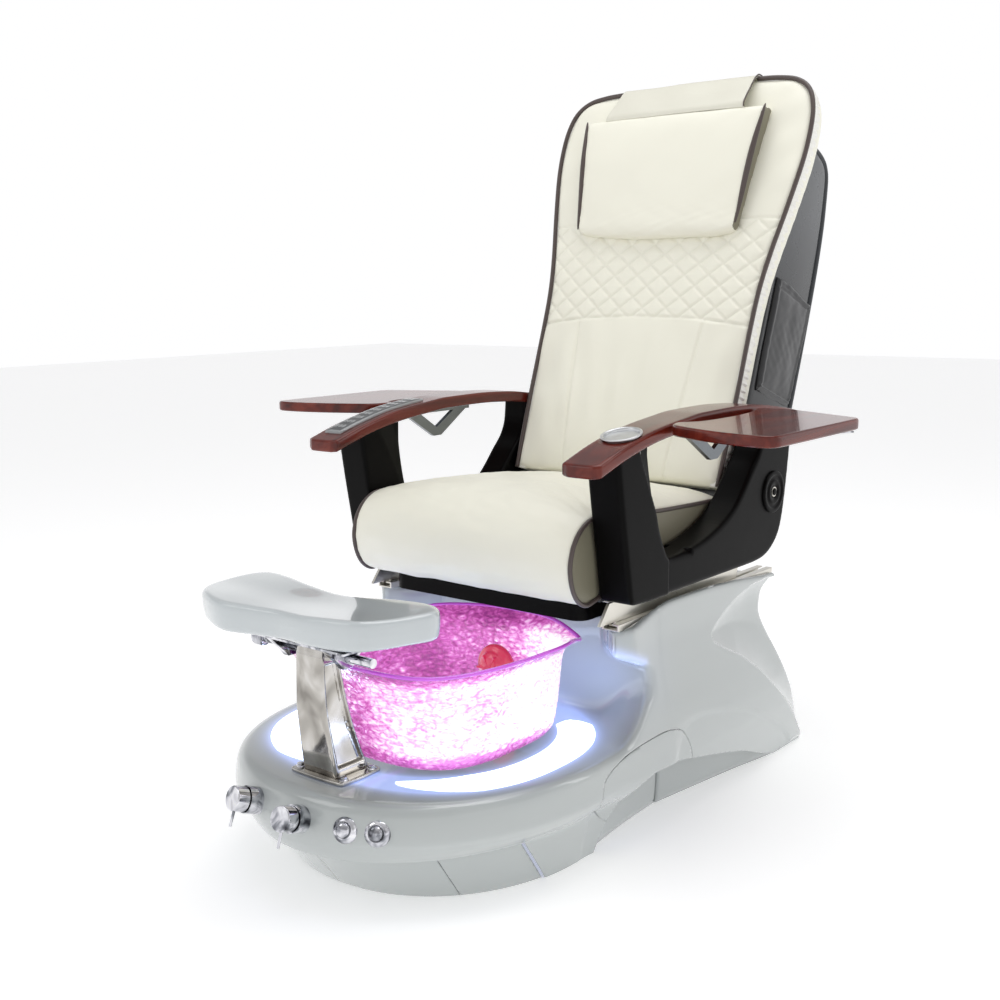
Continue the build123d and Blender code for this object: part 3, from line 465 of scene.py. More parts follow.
def inflate(ob, pressure, cap, voxel=0.006, pin=None, frames=20):
    """Remeshes a closed form and puffs it up with a short cloth simulation, then smooths it."""
    add_modifier(ob, "REMESH", mode="VOXEL", voxel_size=voxel)
    bake(ob)
    start = coords(ob)
    held = ob.vertex_groups.new(name="held")
    weight = pin(start) if pin else np.zeros(len(start))
    for i in np.nonzero(weight > 0)[0]:
        held.add([int(i)], float(weight[i]), "REPLACE")
    cloth = ob.modifiers.new("cloth", "CLOTH")
    cloth.settings.use_pressure = True
    cloth.settings.uniform_pressure_force = pressure
    cloth.settings.effector_weights.gravity = 0
    cloth.settings.quality = 5
    cloth.settings.tension_stiffness = 12
    cloth.settings.compression_stiffness = 12
    cloth.settings.bending_stiffness = 0.4
    cloth.settings.vertex_group_mass = "held"
    cloth.point_cache.frame_start, cloth.point_cache.frame_end = 1, frames
    for number in range(1, frames + 1):
        bpy.context.scene.frame_set(number)
    dg = bpy.context.evaluated_depsgraph_get()
    settled = ob.evaluated_get(dg)
    end = np.empty(len(start) * 3)
    settled.data.vertices.foreach_get("co", end)
    move = end.reshape(-1, 3) - start
    length = np.linalg.norm(move, axis=1)[:, None]
    ob.modifiers.clear()
    bpy.context.scene.frame_set(1)
    set_coords(ob, start + move * np.minimum(1, cap / np.maximum(length, 1e-9)))
    add_modifier(ob, "SMOOTH", factor=0.5, iterations=4)
    add_modifier(ob, "SUBSURF", levels=1)
    bake(ob)
    ob.data.polygons.foreach_set("use_smooth", [True] * len(ob.data.polygons))
    return ob


# ---------------------------------------------------------------- materials

def material(name, colour, rough=0.5, metal=0.0, coat=0.0, coat_rough=0.06, ior=1.5, specular=0.5,
             vary=0.0, vary_scale=6.0, rough_vary=0.0, emit=None, emit_strength=0.0, transmission=0.0,
             sheen=0.0):
    """Principled material with a colour and roughness that drift a little over the surface."""
    m = bpy.data.materials.new(name)
    m.use_nodes = True
    nt = m.node_tree
    b = nt.nodes["Principled BSDF"]
    b.inputs["Base Color"].default_value = (*colour, 1)
    b.inputs["Roughness"].default_value = rough
    b.inputs["Metallic"].default_value = metal
    b.inputs["IOR"].default_value = ior
    b.inputs["Specular IOR Level"].default_value = specular
    b.inputs["Coat Weight"].default_value = coat
    b.inputs["Coat Roughness"].default_value = coat_rough
    b.inputs["Transmission Weight"].default_value = transmission
    b.inputs["Sheen Weight"].default_value = sheen
    if emit:
        b.inputs["Emission Color"].default_value = (*emit, 1)
        b.inputs["Emission Strength"].default_value = emit_strength
    nt.nodes.new("ShaderNodeTexCoord")
    if vary:
        n = noise(m, vary_scale, 3)
        mix = nt.nodes.new("ShaderNodeMix")
        mix.data_type = "RGBA"
        mix.inputs["A"].default_value = (*[c * (1 - vary) for c in colour], 1)
        mix.inputs["B"].default_value = (*[min(1, c * (1 + vary)) for c in colour], 1)
        nt.links.new(n.outputs["Fac"], mix.inputs["Factor"])
        nt.links.new(mix.outputs["Result"], b.inputs["Base Color"])
    if rough_vary:
        n = noise(m, vary_scale * 2.3, 4)
        spread = nt.nodes.new("ShaderNodeMapRange")
        spread.inputs["To Min"].default_value = max(0.0, rough - rough_vary)
        spread.inputs["To Max"].default_value = min(1.0, rough + rough_vary)
        nt.links.new(n.outputs["Fac"], spread.inputs["Value"])
        nt.links.new(spread.outputs["Result"], b.inputs["Roughness"])
    return m


def texture(m, kind, scale, stretch=(1, 1, 1), **values):
    """A texture node in object space."""
    nt = m.node_tree
    where = [n for n in nt.nodes if n.bl_idname == "ShaderNodeTexCoord"][0]
    mapping = nt.nodes.new("ShaderNodeMapping")
    mapping.inputs["Scale"].default_value = stretch
    nt.links.new(where.outputs["Object"], mapping.inputs["Vector"])
    t = nt.nodes.new(kind)
    for key, value in values.items():
        setattr(t, key, value)
    t.inputs["Scale"].default_value = scale
    nt.links.new(mapping.outputs["Vector"], t.inputs["Vector"])
    return t


def noise(m, scale, detail=2, stretch=(1, 1, 1), distortion=0.0):
    t = texture(m, "ShaderNodeTexNoise", scale, stretch)
    t.inputs["Detail"].default_value = detail
    t.inputs["Distortion"].default_value = distortion
    return t


def bump(m, output, strength, distance, coat=False):
    """Adds a bump after any that the material already has."""
    nt = m.node_tree
    b = nt.nodes["Principled BSDF"]
    n = nt.nodes.new("ShaderNodeBump")
    n.inputs["Strength"].default_value = strength
    n.inputs["Distance"].default_value = distance
    if b.inputs["Normal"].is_linked:
        nt.links.new(b.inputs["Normal"].links[0].from_socket, n.inputs["Normal"])
    nt.links.new(output, n.inputs["Height"])
    nt.links.new(n.outputs["Normal"], b.inputs["Normal"])
    if coat:
        nt.links.new(n.outputs["Normal"], b.inputs["Coat Normal"])
    return m


def ramp_node(nt, output, stops, target):
    """A ramp of (place, colour) from an output to a socket."""
    ramp = nt.nodes.new("ShaderNodeValToRGB")
    while len(ramp.color_ramp.elements) < len(stops):
        ramp.color_ramp.elements.new(0.5)
    for element, (at, colour) in zip(ramp.color_ramp.elements, stops):
        element.position = at
        element.color = (*colour, 1)
    nt.links.new(output, ramp.inputs["Fac"])
    nt.links.new(ramp.outputs["Color"], target)


def colour_ramp(m, output, stops):
    ramp_node(m.node_tree, output, stops, m.node_tree.nodes["Principled BSDF"].inputs["Base Color"])


def leather(name, colour, rough=0.42, grain=650, depth=0.00022, coat=0.12):
    m = material(name, colour, rough, vary=0.035, vary_scale=5, rough_vary=0.05, coat=coat,
                 coat_rough=0.3, sheen=0.05)
    cells = texture(m, "ShaderNodeTexVoronoi", grain, feature="DISTANCE_TO_EDGE")
    bump(m, cells.outputs["Distance"], 0.35, depth)
    bump(m, noise(m, 45, 4, distortion=0.6).outputs["Fac"], 0.25, 0.0009)
    return m


GELCOAT = material("gelcoat_pearl", (0.465, 0.495, 0.49), 0.2, coat=1.0, coat_rough=0.04,
                   vary=0.012, vary_scale=3, rough_vary=0.04)
bump(GELCOAT, noise(GELCOAT, 7, 2).outputs["Fac"], 0.1, 0.002, coat=True)
bump(GELCOAT, noise(GELCOAT, 900, 2).outputs["Fac"], 0.03, 0.00005)


def glow_from_attribute(m):
    """The gelcoat carries lamp light near the ring and the bowl, from a colour kept on the mesh."""
    nt = m.node_tree
    lit = nt.nodes.new("ShaderNodeAttribute")
    lit.attribute_name = "lamp_glow"
    b = nt.nodes["Principled BSDF"]
    nt.links.new(lit.outputs["Color"], b.inputs["Emission Color"])
    b.inputs["Emission Strength"].default_value = 1.0


GELCOAT_LIT = GELCOAT.copy()
GELCOAT_LIT.name = "gelcoat_lamp_lit"
glow_from_attribute(GELCOAT_LIT)

# A lighter copy of the base's gelcoat: painted light, standing in for the light on the pad's top.
PAD_COAT_TOP_LIT = material("gelcoat_footrest_top_lit", (0.56, 0.60, 0.615), 0.18, coat=1.0, coat_rough=0.03,
                    vary=0.012, vary_scale=4, rough_vary=0.04)
bump(PAD_COAT_TOP_LIT, noise(PAD_COAT_TOP_LIT, 9, 2).outputs["Fac"], 0.08, 0.0015, coat=True)

LENS = material("ring_light", (0.9, 0.95, 1.0), 0.35, coat=0.6, vary=0.02, vary_scale=30,
                emit=(0.62, 0.74, 1.0), emit_strength=3.2)

CHROME = material("chrome_polished", (0.78, 0.785, 0.80), 0.06, metal=1.0, vary=0.03, vary_scale=9,
                  rough_vary=0.03)
# Painted reflections: the colour swings in noise patches from near black to near white, standing in for what
# the chrome mirrors.
colour_ramp(CHROME, noise(CHROME, 26, 2, distortion=1.2).outputs["Fac"],
            [(0.33, (0.05, 0.05, 0.06)), (0.45, (0.30, 0.31, 0.34)), (0.54, (0.62, 0.62, 0.66)),
             (0.72, (0.90, 0.90, 0.93))])
bump(CHROME, noise(CHROME, 26, 2, distortion=0.4).outputs["Fac"], 0.12, 0.0012)

POST_CHROME = material("chrome_post", (0.5, 0.49, 0.47), 0.10, metal=1.0, rough_vary=0.03, vary_scale=8)
# Painted reflections: the colour swings in stretched noise patches from dark to near white, standing in for
# what the chrome post mirrors.
colour_ramp(POST_CHROME, noise(POST_CHROME, 9, 2, stretch=(2.2, 1, 0.8), distortion=1.4).outputs["Fac"],
            [(0.25, (0.26, 0.245, 0.225)), (0.42, (0.42, 0.40, 0.37)), (0.55, (0.56, 0.54, 0.51)),
             (0.8, (0.85, 0.84, 0.85))])
bump(POST_CHROME, noise(POST_CHROME, 16, 2, distortion=0.4).outputs["Fac"], 0.10, 0.0012)

STEEL = material("rail_stainless", (0.74, 0.715, 0.65), 0.3, metal=0.9, vary=0.08, vary_scale=14,
                 rough_vary=0.08)
bump(STEEL, noise(STEEL, 300, 3, stretch=(1, 0.03, 1)).outputs["Fac"], 0.2, 0.0002)

# Painted reflection: the bracket metal is kept dark, standing in for the dark surroundings its chrome
# mirrors.
SHEET = material("bracket_steel", (0.20, 0.215, 0.23), 0.22, metal=1.0, vary=0.06, vary_scale=20,
                 rough_vary=0.08)
bump(SHEET, noise(SHEET, 180, 3).outputs["Fac"], 0.1, 0.0003)

FRAME_PAINT = material("frame_paint", (0.035, 0.035, 0.038), 0.45, vary=0.1, vary_scale=30, rough_vary=0.1)
bump(FRAME_PAINT, noise(FRAME_PAINT, 500, 2).outputs["Fac"], 0.15, 0.0002)

BLACK = material("moulded_black", (0.0022, 0.002, 0.002), 0.33, vary=0.12, vary_scale=12, rough_vary=0.05,
                 specular=0.12, ior=1.35)
bump(BLACK, texture(BLACK, "ShaderNodeTexVoronoi", 1400, feature="DISTANCE_TO_EDGE").outputs["Distance"],
     0.18, 0.00012)
bump(BLACK, noise(BLACK, 14, 2).outputs["Fac"], 0.1, 0.0012)

SHELL_BLACK = material("shell_black", (0.048, 0.052, 0.057), 0.28, vary=0.1, vary_scale=8, rough_vary=0.06,
                       coat=0.25, coat_rough=0.25)
bump(SHELL_BLACK, noise(SHELL_BLACK, 700, 3).outputs["Fac"], 0.12, 0.00012)

CREAM = leather("cream_leather", (0.90, 0.885, 0.765))
# Painted shade: a dark olive copy of the cream leather for the seat's flanks and the pillow's gussets, which
# face away from the light.
CREAM_SHADED_SIDE = leather("cream_side_painted_shade", (0.215, 0.20, 0.14), rough=0.5)
CREAM_GATHER = leather("cream_gather", (0.88, 0.87, 0.82), rough=0.4)
FLAP_CREAM = leather("cream_flap", (0.72, 0.705, 0.605))
PIPING = leather("piping_brown", (0.075, 0.055, 0.05), rough=0.38, grain=900)
POCKET = leather("pocket_leather", (0.012, 0.0125, 0.014), rough=0.30, grain=600, coat=0.2)

WOOD = material("mahogany_lacquer", (0.16, 0.016, 0.009), 0.25, coat=0.40, coat_rough=0.03, ior=1.5,
                specular=0.22)
GRAIN = noise(WOOD, 26, 6, stretch=(1.0, 0.06, 1.0), distortion=1.2)
colour_ramp(WOOD, GRAIN.outputs["Fac"], [(0.25, (0.045, 0.006, 0.004)), (0.5, (0.115, 0.012, 0.006)),
                                         (0.75, (0.19, 0.028, 0.014))])
bump(WOOD, GRAIN.outputs["Fac"], 0.04, 0.0002)

SILVER = material("cup_silver", (0.66, 0.67, 0.68), 0.3, metal=0.85, vary=0.03, vary_scale=40,
                  rough_vary=0.05)
# The rim bead glows violet, standing in for the bowl's lamp light in the glass: painted light.
RIM_LAMP_GLOW = material("glass_rim_lamp_glow", (0.50, 0.10, 0.62), 0.08, coat=1.0, coat_rough=0.02, vary=0.15, vary_scale=25,
               emit=(0.55, 0.06, 0.60), emit_strength=0.36)
bump(RIM_LAMP_GLOW, noise(RIM_LAMP_GLOW, 30, 2, distortion=0.8).outputs["Fac"], 0.3, 0.002)
bump(SILVER, noise(SILVER, 400, 2).outputs["Fac"], 0.08, 0.0001)
PANEL = material("remote_gloss", (0.27, 0.28, 0.285), 0.2, coat=1.0, coat_rough=0.05, vary=0.05,
                 vary_scale=25)
bump(PANEL, noise(PANEL, 30, 2).outputs["Fac"], 0.05, 0.0004)
KEYS = material("remote_keys", (0.075, 0.078, 0.082), 0.4, coat=0.3, vary=0.08, vary_scale=60)
bump(KEYS, noise(KEYS, 700, 2).outputs["Fac"], 0.1, 0.0001)
RUBBER = material("roller_rubber", (0.03, 0.03, 0.03), 0.7, vary=0.1, vary_scale=40)
bump(RUBBER, noise(RUBBER, 600, 3).outputs["Fac"], 0.3, 0.0003)
DARK_TRIM = material("shell_edge_trim", (0.03, 0.033, 0.038), 0.42, vary=0.1, vary_scale=40)
bump(DARK_TRIM, noise(DARK_TRIM, 500, 2).outputs["Fac"], 0.2, 0.0002)

BOWL = material("lit_glass", (0.45, 0.10, 0.34), 0.12, coat=0.8, coat_rough=0.05, transmission=0.25, ior=1.45)
# The jet cover glows red and its ring glows pale pink, standing in for the bowl's lamp light on them: painted
# light and a painted highlight.
JET_RED_GLOW = material("jet_red_glow", (0.50, 0.02, 0.07), 0.2, coat=0.8, vary=0.1, vary_scale=30,
               emit=(0.9, 0.05, 0.14), emit_strength=0.38)
JET_RIM_GLOW = material("jet_rim_glow", (0.8, 0.5, 0.6), 0.1, coat=0.8, vary=0.2, vary_scale=60,
                   emit=(1.0, 0.75, 0.85), emit_strength=0.55)
bump(JET_RIM_GLOW, noise(JET_RIM_GLOW, 140, 2).outputs["Fac"], 0.5, 0.0015)
bump(JET_RED_GLOW, noise(JET_RED_GLOW, 60, 2).outputs["Fac"], 0.1, 0.0005)


def along(m, axis, low, high):
    """0 before one place on an axis and 1 past another, in the piece's own frame."""
    nt = m.node_tree
    where = [n for n in nt.nodes if n.bl_idname == "ShaderNodeTexCoord"][0]
    split = nt.nodes.new("ShaderNodeSeparateXYZ")
    nt.links.new(where.outputs["Object"], split.inputs["Vector"])
    span = nt.nodes.new("ShaderNodeMapRange")
    span.interpolation_type = "SMOOTHSTEP"
    span.inputs["From Min"].default_value, span.inputs["From Max"].default_value = low, high
    nt.links.new(split.outputs[axis], span.inputs["Value"])
    return span.outputs["Result"]


# Painted sheen: the shell's colour lightens from its lower part up to its top, standing in for the grey
# reflection of the bright room above.
colour_ramp(SHELL_BLACK, along(SHELL_BLACK, "Z", 0.92, 1.20),
            [(0.0, (0.014, 0.015, 0.017)), (0.45, (0.040, 0.043, 0.047)), (1.0, (0.085, 0.090, 0.096))])


def light_bowl(m):
    """The glass carries its own light: magenta, washed out to white where the lamp shines through it."""
    nt = m.node_tree
    ripple = texture(m, "ShaderNodeTexVoronoi", 62, feature="DISTANCE_TO_EDGE", stretch=(1, 1, 1.5))
    wash = noise(m, 6.5, 2, distortion=0.4)
    speck = noise(m, 44, 3, stretch=(1, 1, 2.3), distortion=1.6)

    def maths(kind, a, b):
        n = nt.nodes.new("ShaderNodeMath")
        n.operation = kind
        for socket, value in zip(n.inputs, (a, b)):
            if isinstance(value, (int, float)):
                socket.default_value = value
            else:
                nt.links.new(value, socket)
        return n.outputs["Value"]

    middle = maths("MULTIPLY", along(m, "X", -0.06, 0.13), along(m, "Z", 0.20, 0.235))
    middle = maths("MULTIPLY", middle, along(m, "Z", 0.372, 0.345))
    cell = maths("MULTIPLY", ripple.outputs["Distance"], 0.55)
    broken = maths("ADD", maths("MULTIPLY", speck.outputs["Fac"], 0.85),
                   maths("MULTIPLY", wash.outputs["Fac"], 0.65))
    broken = maths("ADD", broken, cell)
    level = maths("ADD", maths("MULTIPLY", middle, 0.52), maths("SUBTRACT", broken, 0.50))
    b = nt.nodes["Principled BSDF"]
    ramp_node(nt, level, [(0.05, (0.42, 0.03, 0.36)), (0.28, (0.70, 0.09, 0.50)), (0.47, (0.86, 0.19, 0.72)),
                          (0.62, (0.98, 0.50, 0.92)), (0.76, (1.0, 0.97, 1.0))], b.inputs["Emission Color"])
    power = nt.nodes.new("ShaderNodeMapRange")
    power.inputs["From Min"].default_value = 0.2
    power.inputs["From Max"].default_value = 0.9
    power.inputs["To Min"].default_value = 0.30
    power.inputs["To Max"].default_value = 1.0
    nt.links.new(level, power.inputs["Value"])
    nt.links.new(power.outputs["Result"], b.inputs["Emission Strength"])
    bump(m, ripple.outputs["Distance"], 0.8, 0.004, coat=True)
    bump(m, speck.outputs["Fac"], 0.25, 0.0015, coat=True)


light_bowl(BOWL)

# ---------------------------------------------------------------- base shell

POD_Z = [0, 0.045, 0.088, 0.100, 0.112, 0.135, 0.165, 0.200, 0.26]
POD_FRONT = curve(POD_Z, [-0.612, -0.664, -0.702, -0.708, -0.712, -0.715, -0.708, -0.694, -0.67])
POD_HALF = curve(POD_Z, [0.290, 0.300, 0.310, 0.322, 0.333, 0.343, 0.343, 0.336, 0.322])
POD_POWER = curve(POD_Z, [2.2, 2.12, 2.06, 2.08, 2.12, 2.25, 2.3, 2.3, 2.3])
SIDE_HALF = curve([0, 0.05, 0.092, 0.13, 0.16, 0.2, 0.26, 0.32, 0.36, 0.42],
                  [0.322, 0.332, 0.339, 0.343, 0.341, 0.333, 0.320, 0.310, 0.306, 0.307])
REAR_Y = curve([0, 0.017, 0.05, 0.092, 0.124, 0.15, 0.2, 0.226, 0.26, 0.32, 0.36, 0.39],
               [0.520, 0.506, 0.484, 0.468, 0.455, 0.445, 0.425, 0.412, 0.392, 0.364, 0.366, 0.384])
ARCH = curve([-0.30, -0.264, -0.244, -0.226, -0.19, -0.13, -0.06, 0.02, 0.12, 0.218, 0.32, 0.42, 0.6],
             [-0.9, -0.02, 0.048, 0.078, 0.104, 0.122, 0.119, 0.103, 0.08, 0.054, 0.016, -0.01, -0.02])
SCOOP = [(0.427, 0.379), (0.36, 0.391), (0.285, 0.389), (0.22, 0.375), (0.165, 0.354), (0.125, 0.332),
         (0.112, 0.318), (0.122, 0.300), (0.165, 0.277), (0.215, 0.254), (0.275, 0.213), (0.325, 0.168),
         (0.37, 0.128), (0.415, 0.088), (0.452, 0.050), (0.490, 0.010), (0.515, -0.03), (0.72, -0.05),
         (0.72, 0.379)]
BAND = curve([-0.05, 0.03, 0.082, 0.2, 0.318, 0.39, 0.443], [0.19, 0.188, 0.181, 0.150, 0.097, 0.053, 0.012])
NOSE_ROOT = -0.30
WALL_TOP = curve([0, 0.19, 0.225, 0.258, 0.285, 0.305, 0.35],
                 [-0.098, -0.100, -0.125, -0.165, -0.185, -0.172, -0.150])
WALL_LOW = curve([0, 0.2, 0.31, 0.35], [-0.098, -0.100, -0.112, -0.112])
TOP_Z = 0.3885
LIP = curve([-0.22, -0.16, -0.03, 0.10, 0.222, 0.33, 0.40], [0.0, 0.006, 0.030, 0.028, 0.020, 0.009, 0.005])


def side_half(y, z):
    """Half width of the base's side wall."""
    blend = step(-0.30, -0.06, y)
    half = POD_HALF(z) * (1 - blend) + SIDE_HALF(z) * blend
    inside = np.maximum(0, -polygon_distance(y, z, SCOOP))
    half = half - 0.030 * (1 - np.exp(-inside / 0.045)) - 0.006 * step(0, 0.006, inside)
    below = (BAND(y) - z) * step(-0.08, 0.05, y)
    return half - 0.005 * step(-0.004, 0.010, below)


def ring_reach(x, y):
    """Rough distance outside the light ring's outer edge."""
    return 0.28 * (((np.abs(x) / 0.292) ** 2.4 + (np.abs(y - BOWL_Y) / 0.265) ** 2.4) ** (1 / 2.4) - 1)


def base_field(x, y, z):
    ax = np.abs(x)
    half, front, power = POD_HALF(z), POD_FRONT(z), POD_POWER(z)
    ahead = np.maximum(0, NOSE_ROOT - y)
    nose = (((ax / half) ** power + (ahead / (NOSE_ROOT - front)) ** power) ** (1 / power) - 1) * half
    wall = np.where(y < NOSE_ROOT, nose, ax - side_half(y, z))
    wall = smax(wall, y - REAR_Y(z), 0.012)
    rim = DECK_Z + 0.080 * step(-0.25, -0.085, y) * step(0.0, 0.095, ring_reach(x, y)) * step(0.13, 0.27, ax)
    above = step(0.302, 0.346, z)
    face = WALL_LOW(ax) * (1 - above) + WALL_TOP(ax) * above
    pedestal = smax((face - y) * 0.9, z - TOP_Z - LIP(y) * step(0.291, 0.298, ax), 0.010)
    top = smin((z - rim) * 0.85, pedestal, 0.024)
    edge = 0.014 + 0.006 * step(-0.30, -0.10, y) - 0.010 * step(0.36, 0.385, z)
    return smax(wall, top, edge)


skin = surface("base_skin", base_field, (-0.36, -0.73, -0.012), (0.361, 0.56, 0.435), 0.005)
clip(skin, lambda p: p[:, 2])


def shell_edge(p):
    """Positive on the shell: above its front lip and above the arch at each side."""
    x, y, z = p.T
    kick = np.maximum(z - 0.0895, (y + 0.39 + 0.065 * z / 0.0895 - 0.0015) * 0.8)
    return np.minimum(kick, np.where(y > -0.33, z - ARCH(y), 1))


DOOR = smooth([(-0.262, 0.070), (-0.289, 0.098), (-0.304, 0.134), (-0.288, 0.166), (-0.22, 0.183),
               (-0.128, 0.188), (-0.07, 0.185), (-0.035, 0.172), (-0.014, 0.145), (0.002, 0.108),
               (0.006, 0.09)], 60)
DOOR = np.vstack([DOOR, [(0.006, 0.03), (-0.2, 0.03)]])


def door_edge(p):
    d = polygon_distance(p[:, 1], p[:, 2], DOOR)
    return np.where(np.abs(p[:, 0]) > 0.265, -d, -1)


clip(skin, shell_edge)
doors = clip(skin, lambda p: door_edge(p) - SEAM, "side_access_panels")
clip(skin, lambda p: -door_edge(p) - SEAM)
COVER_LOW, COVER_HIGH = (np.array(v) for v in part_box("rear_access_cover"))


def cover_edge(p):
    """Distance outside the rear access cover's rounded outline."""
    middle, half, radius = (COVER_LOW + COVER_HIGH) / 2, (COVER_HIGH - COVER_LOW) / 2, 0.025
    q = np.abs(p - middle)[:, [0, 2]] - (half[[0, 2]] - radius)
    d = np.hypot(np.maximum(q[:, 0], 0), np.maximum(q[:, 1], 0)) + np.minimum(q.max(1), 0) - radius
    return np.where(p[:, 1] > 0.3, d, 1)


cover = clip(skin, lambda p: -cover_edge(p) - SEAM, "rear_access_cover_panel")
clip(skin, lambda p: cover_edge(p) - SEAM)
skin.name = "base_shell_moulding"
for ob in (skin, doors, cover):
    thicken(ob, SKIN)
# Painted lamp light: emission on the base moulding standing in for the ring's and the bowl's light on the
# deck, in the cove beside the bowl, and along the pedestal's shoulder.
glow_at = coords(skin)
gx, gy, gz = np.abs(glow_at[:, 0]), glow_at[:, 1], glow_at[:, 2]
RING_OUT = np.stack(superellipse(np.linspace(0, 2 * math.pi, 120), 0.291, 0.264, 2.4), 1)
RING_IN = np.stack(superellipse(np.linspace(0, 2 * math.pi, 120), 0.225, 0.217, 2.2), 1)
out_d = polygon_distance(glow_at[:, 0], gy - BOWL_Y, RING_OUT)
in_d = -polygon_distance(glow_at[:, 0], gy - BOWL_Y, RING_IN)
around = np.maximum(np.maximum(out_d, in_d), 0)
lit_deck = 0.75 * np.exp(-(around / 0.011) ** 1.3) * np.exp(-np.abs(gz - DECK_Z) / 0.02)
lit_deck = lit_deck + 0.08 * step(0.05, 0.0, out_d) * step(0.10, 0.0, np.abs(gz - DECK_Z))
away = np.hypot(np.maximum(0, gx - 0.19), np.maximum(0, gy + 0.14))
cove_lamp_glow = 0.40 * bell(gz, 0.285, 0.07) * np.exp(-(away / 0.085) ** 2) * (gy > -0.34)
# band: a painted highlight line along the pedestal's shoulder, tinted by the lamp light.
band = 0.75 * np.exp(-(line_distance(gy, gz, [(-0.245, 0.362), (-0.185, 0.344),
                                              (-0.130, 0.318)]) / 0.012) ** 2) * (gx > 0.22)
lit = (lit_deck + cove_lamp_glow + band) * step(-0.02, 0.0, gz - 0.17)
glow = skin.data.attributes.new("lamp_glow", "FLOAT_COLOR", "POINT")
tint = np.stack([0.30 * lit, 0.42 * lit, 0.95 * lit, np.ones(len(lit))], 1)
glow.data.foreach_set("color", tint.astype(np.float32).ravel())
place(skin, "base", GELCOAT_LIT, "gelcoat", "base_shell")
place(cover, "base", GELCOAT, "gelcoat", "rear_access_cover")
place(doors, "base", GELCOAT, "gelcoat", "access_panels")

# front kick panel in three sections, tucked under the lip
turn = np.linspace(0.02, math.pi - 0.02, 181)
rows = []
for z in np.linspace(0, 0.092, 14):
    t = z / 0.092
    x, y = superellipse(turn, 0.284 + 0.020 * t, 0.330 + 0.068 * t - 0.02 * t, 2.2 - 0.14 * t)
    rows.append(np.stack([x, -0.28 - 0.02 * t - np.abs(y), np.full_like(x, z)], 1))
kick = grid("kick", np.array(rows))
clip(kick, lambda p: -(p[:, 1] + 0.39 + 0.065 * p[:, 2] / 0.0895))
sections = []
for low, high in ((-0.4, 0.014), (0.014, 0.206), (0.206, 0.4)):
    part = clip(kick, lambda p, a=low, b=high: np.minimum(p[:, 0] - a, b - p[:, 0]) - 0.0004, f"kick_{low}")
    sections.append(thicken(part, 0.004))
# A black sheet just behind the kick sections, so that the seams between them show dark: painted shade.
low_kick = coords(kick)
set_coords(kick, low_kick + np.stack([-low_kick[:, 0], -0.2 - low_kick[:, 1], low_kick[:, 2] * 0], 1) * 0.018)
place(kick, "base", BLACK, "black_plastic")
kick.name = "kick_seam_shade_backing"
kick = join("front_kick_sections", sections)
place(kick, "base", GELCOAT, "gelcoat", "front_kick_panel")

# side kick panels, set back under the arches
parts = []
for line in (smooth([(0.279, -0.262), (0.263, -0.12), (0.2562, -0.001)], 30),
             smooth([(0.2590, -0.006), (0.276, 0.12), (0.294, 0.247), (0.309, 0.33), (0.318, 0.40)], 40)):
    rows = []
    for z in np.linspace(0, 0.135, 16):
        bow = 0.004 * math.sin(math.pi * min(1, z / 0.12))
        rows.append([(x + bow, y, z) for x, y in line])
    part = grid("side_kick", np.array(rows))
    clip(part, lambda p: ARCH(p[:, 1]) + 0.018 - p[:, 2])
    bm = bmesh.new()
    bm.from_mesh(part.data)
    bmesh.ops.recalc_face_normals(bm, faces=bm.faces)
    if sum(f.normal.x for f in bm.faces) < 0:
        bmesh.ops.reverse_faces(bm, faces=bm.faces)
    bm.to_mesh(part.data)
    bm.free()
    parts += [thicken(part, 0.004)]
half = join("side_kick_left", parts)
other = mirrored(half, "side_kick_right")
side_kicks = join("side_kick_covers", [half, other])
place(side_kicks, "base", GELCOAT, "gelcoat", "side_kick_panels")

# light ring let into the deck
def ring_edge(half_x, half_y, power, start, end, count):
    """Points along part of the ring, start and end as turns from +X."""
    t = np.linspace(start, end, count)
    x, y = superellipse(t, half_x, half_y, power)
    return np.stack([x, BOWL_Y + y], 1)


def ring_piece(name, start, end, tip_start, tip_end):
    """A band between the ring's two edges that narrows to its tips."""
    count = 140
    outer = ring_edge(0.291, 0.264, 2.4, start, end, count)
    inner = ring_edge(0.225, 0.217, 2.2, start, end, count)
    run = np.linspace(0, 1, count)
    ease = np.minimum(1, run / tip_start) ** 0.5 * np.minimum(1, (1 - run) / tip_end) ** 0.5
    middle = (outer + inner) / 2
    outer, inner = middle + (outer - middle) * ease[:, None], middle + (inner - middle) * ease[:, None]
    rows = []
    for t, lift in ((0, -0.0035), (0.0, 0.0008), (0.05, 0.0018), (0.3, 0.0023), (0.7, 0.0023), (0.95, 0.0018),
                    (1, 0.0008),
                    (1, -0.0035)):
        line = inner * (1 - t) + outer * t
        rows.append([(x, y, DECK_Z + lift) for x, y in line])
    return edit(grid(name, np.array(rows), wrap_u=True), fill_holes,
                lambda bm: bmesh.ops.remove_doubles(bm, verts=bm.verts, dist=1e-5))


ring = join("deck_light_ring", [
    ring_piece("ring_a", math.radians(-66), math.radians(52), 0.28, 0.05),
    ring_piece("ring_b", math.radians(-101), math.radians(-232), 0.12, 0.05)])
place(ring, "base", LENS, "led_lens", "led_ring_lens")


# ---------------------------------------------------------------- glass bowl and jet

BOWL_Z = [0.1945, 0.2, 0.212, 0.24, 0.30, 0.335, 0.352, 0.364, 0.3745]
BOWL_X = curve(BOWL_Z, [0.185, 0.196, 0.203, 0.208, 0.2135, 0.216, 0.221, 0.230, 0.240])
BOWL_B = curve(BOWL_Z, [0.172, 0.183, 0.189, 0.195, 0.202, 0.207, 0.217, 0.232, 0.2455])
BOWL_TURN = np.linspace(0, 2 * math.pi, 420, endpoint=False)


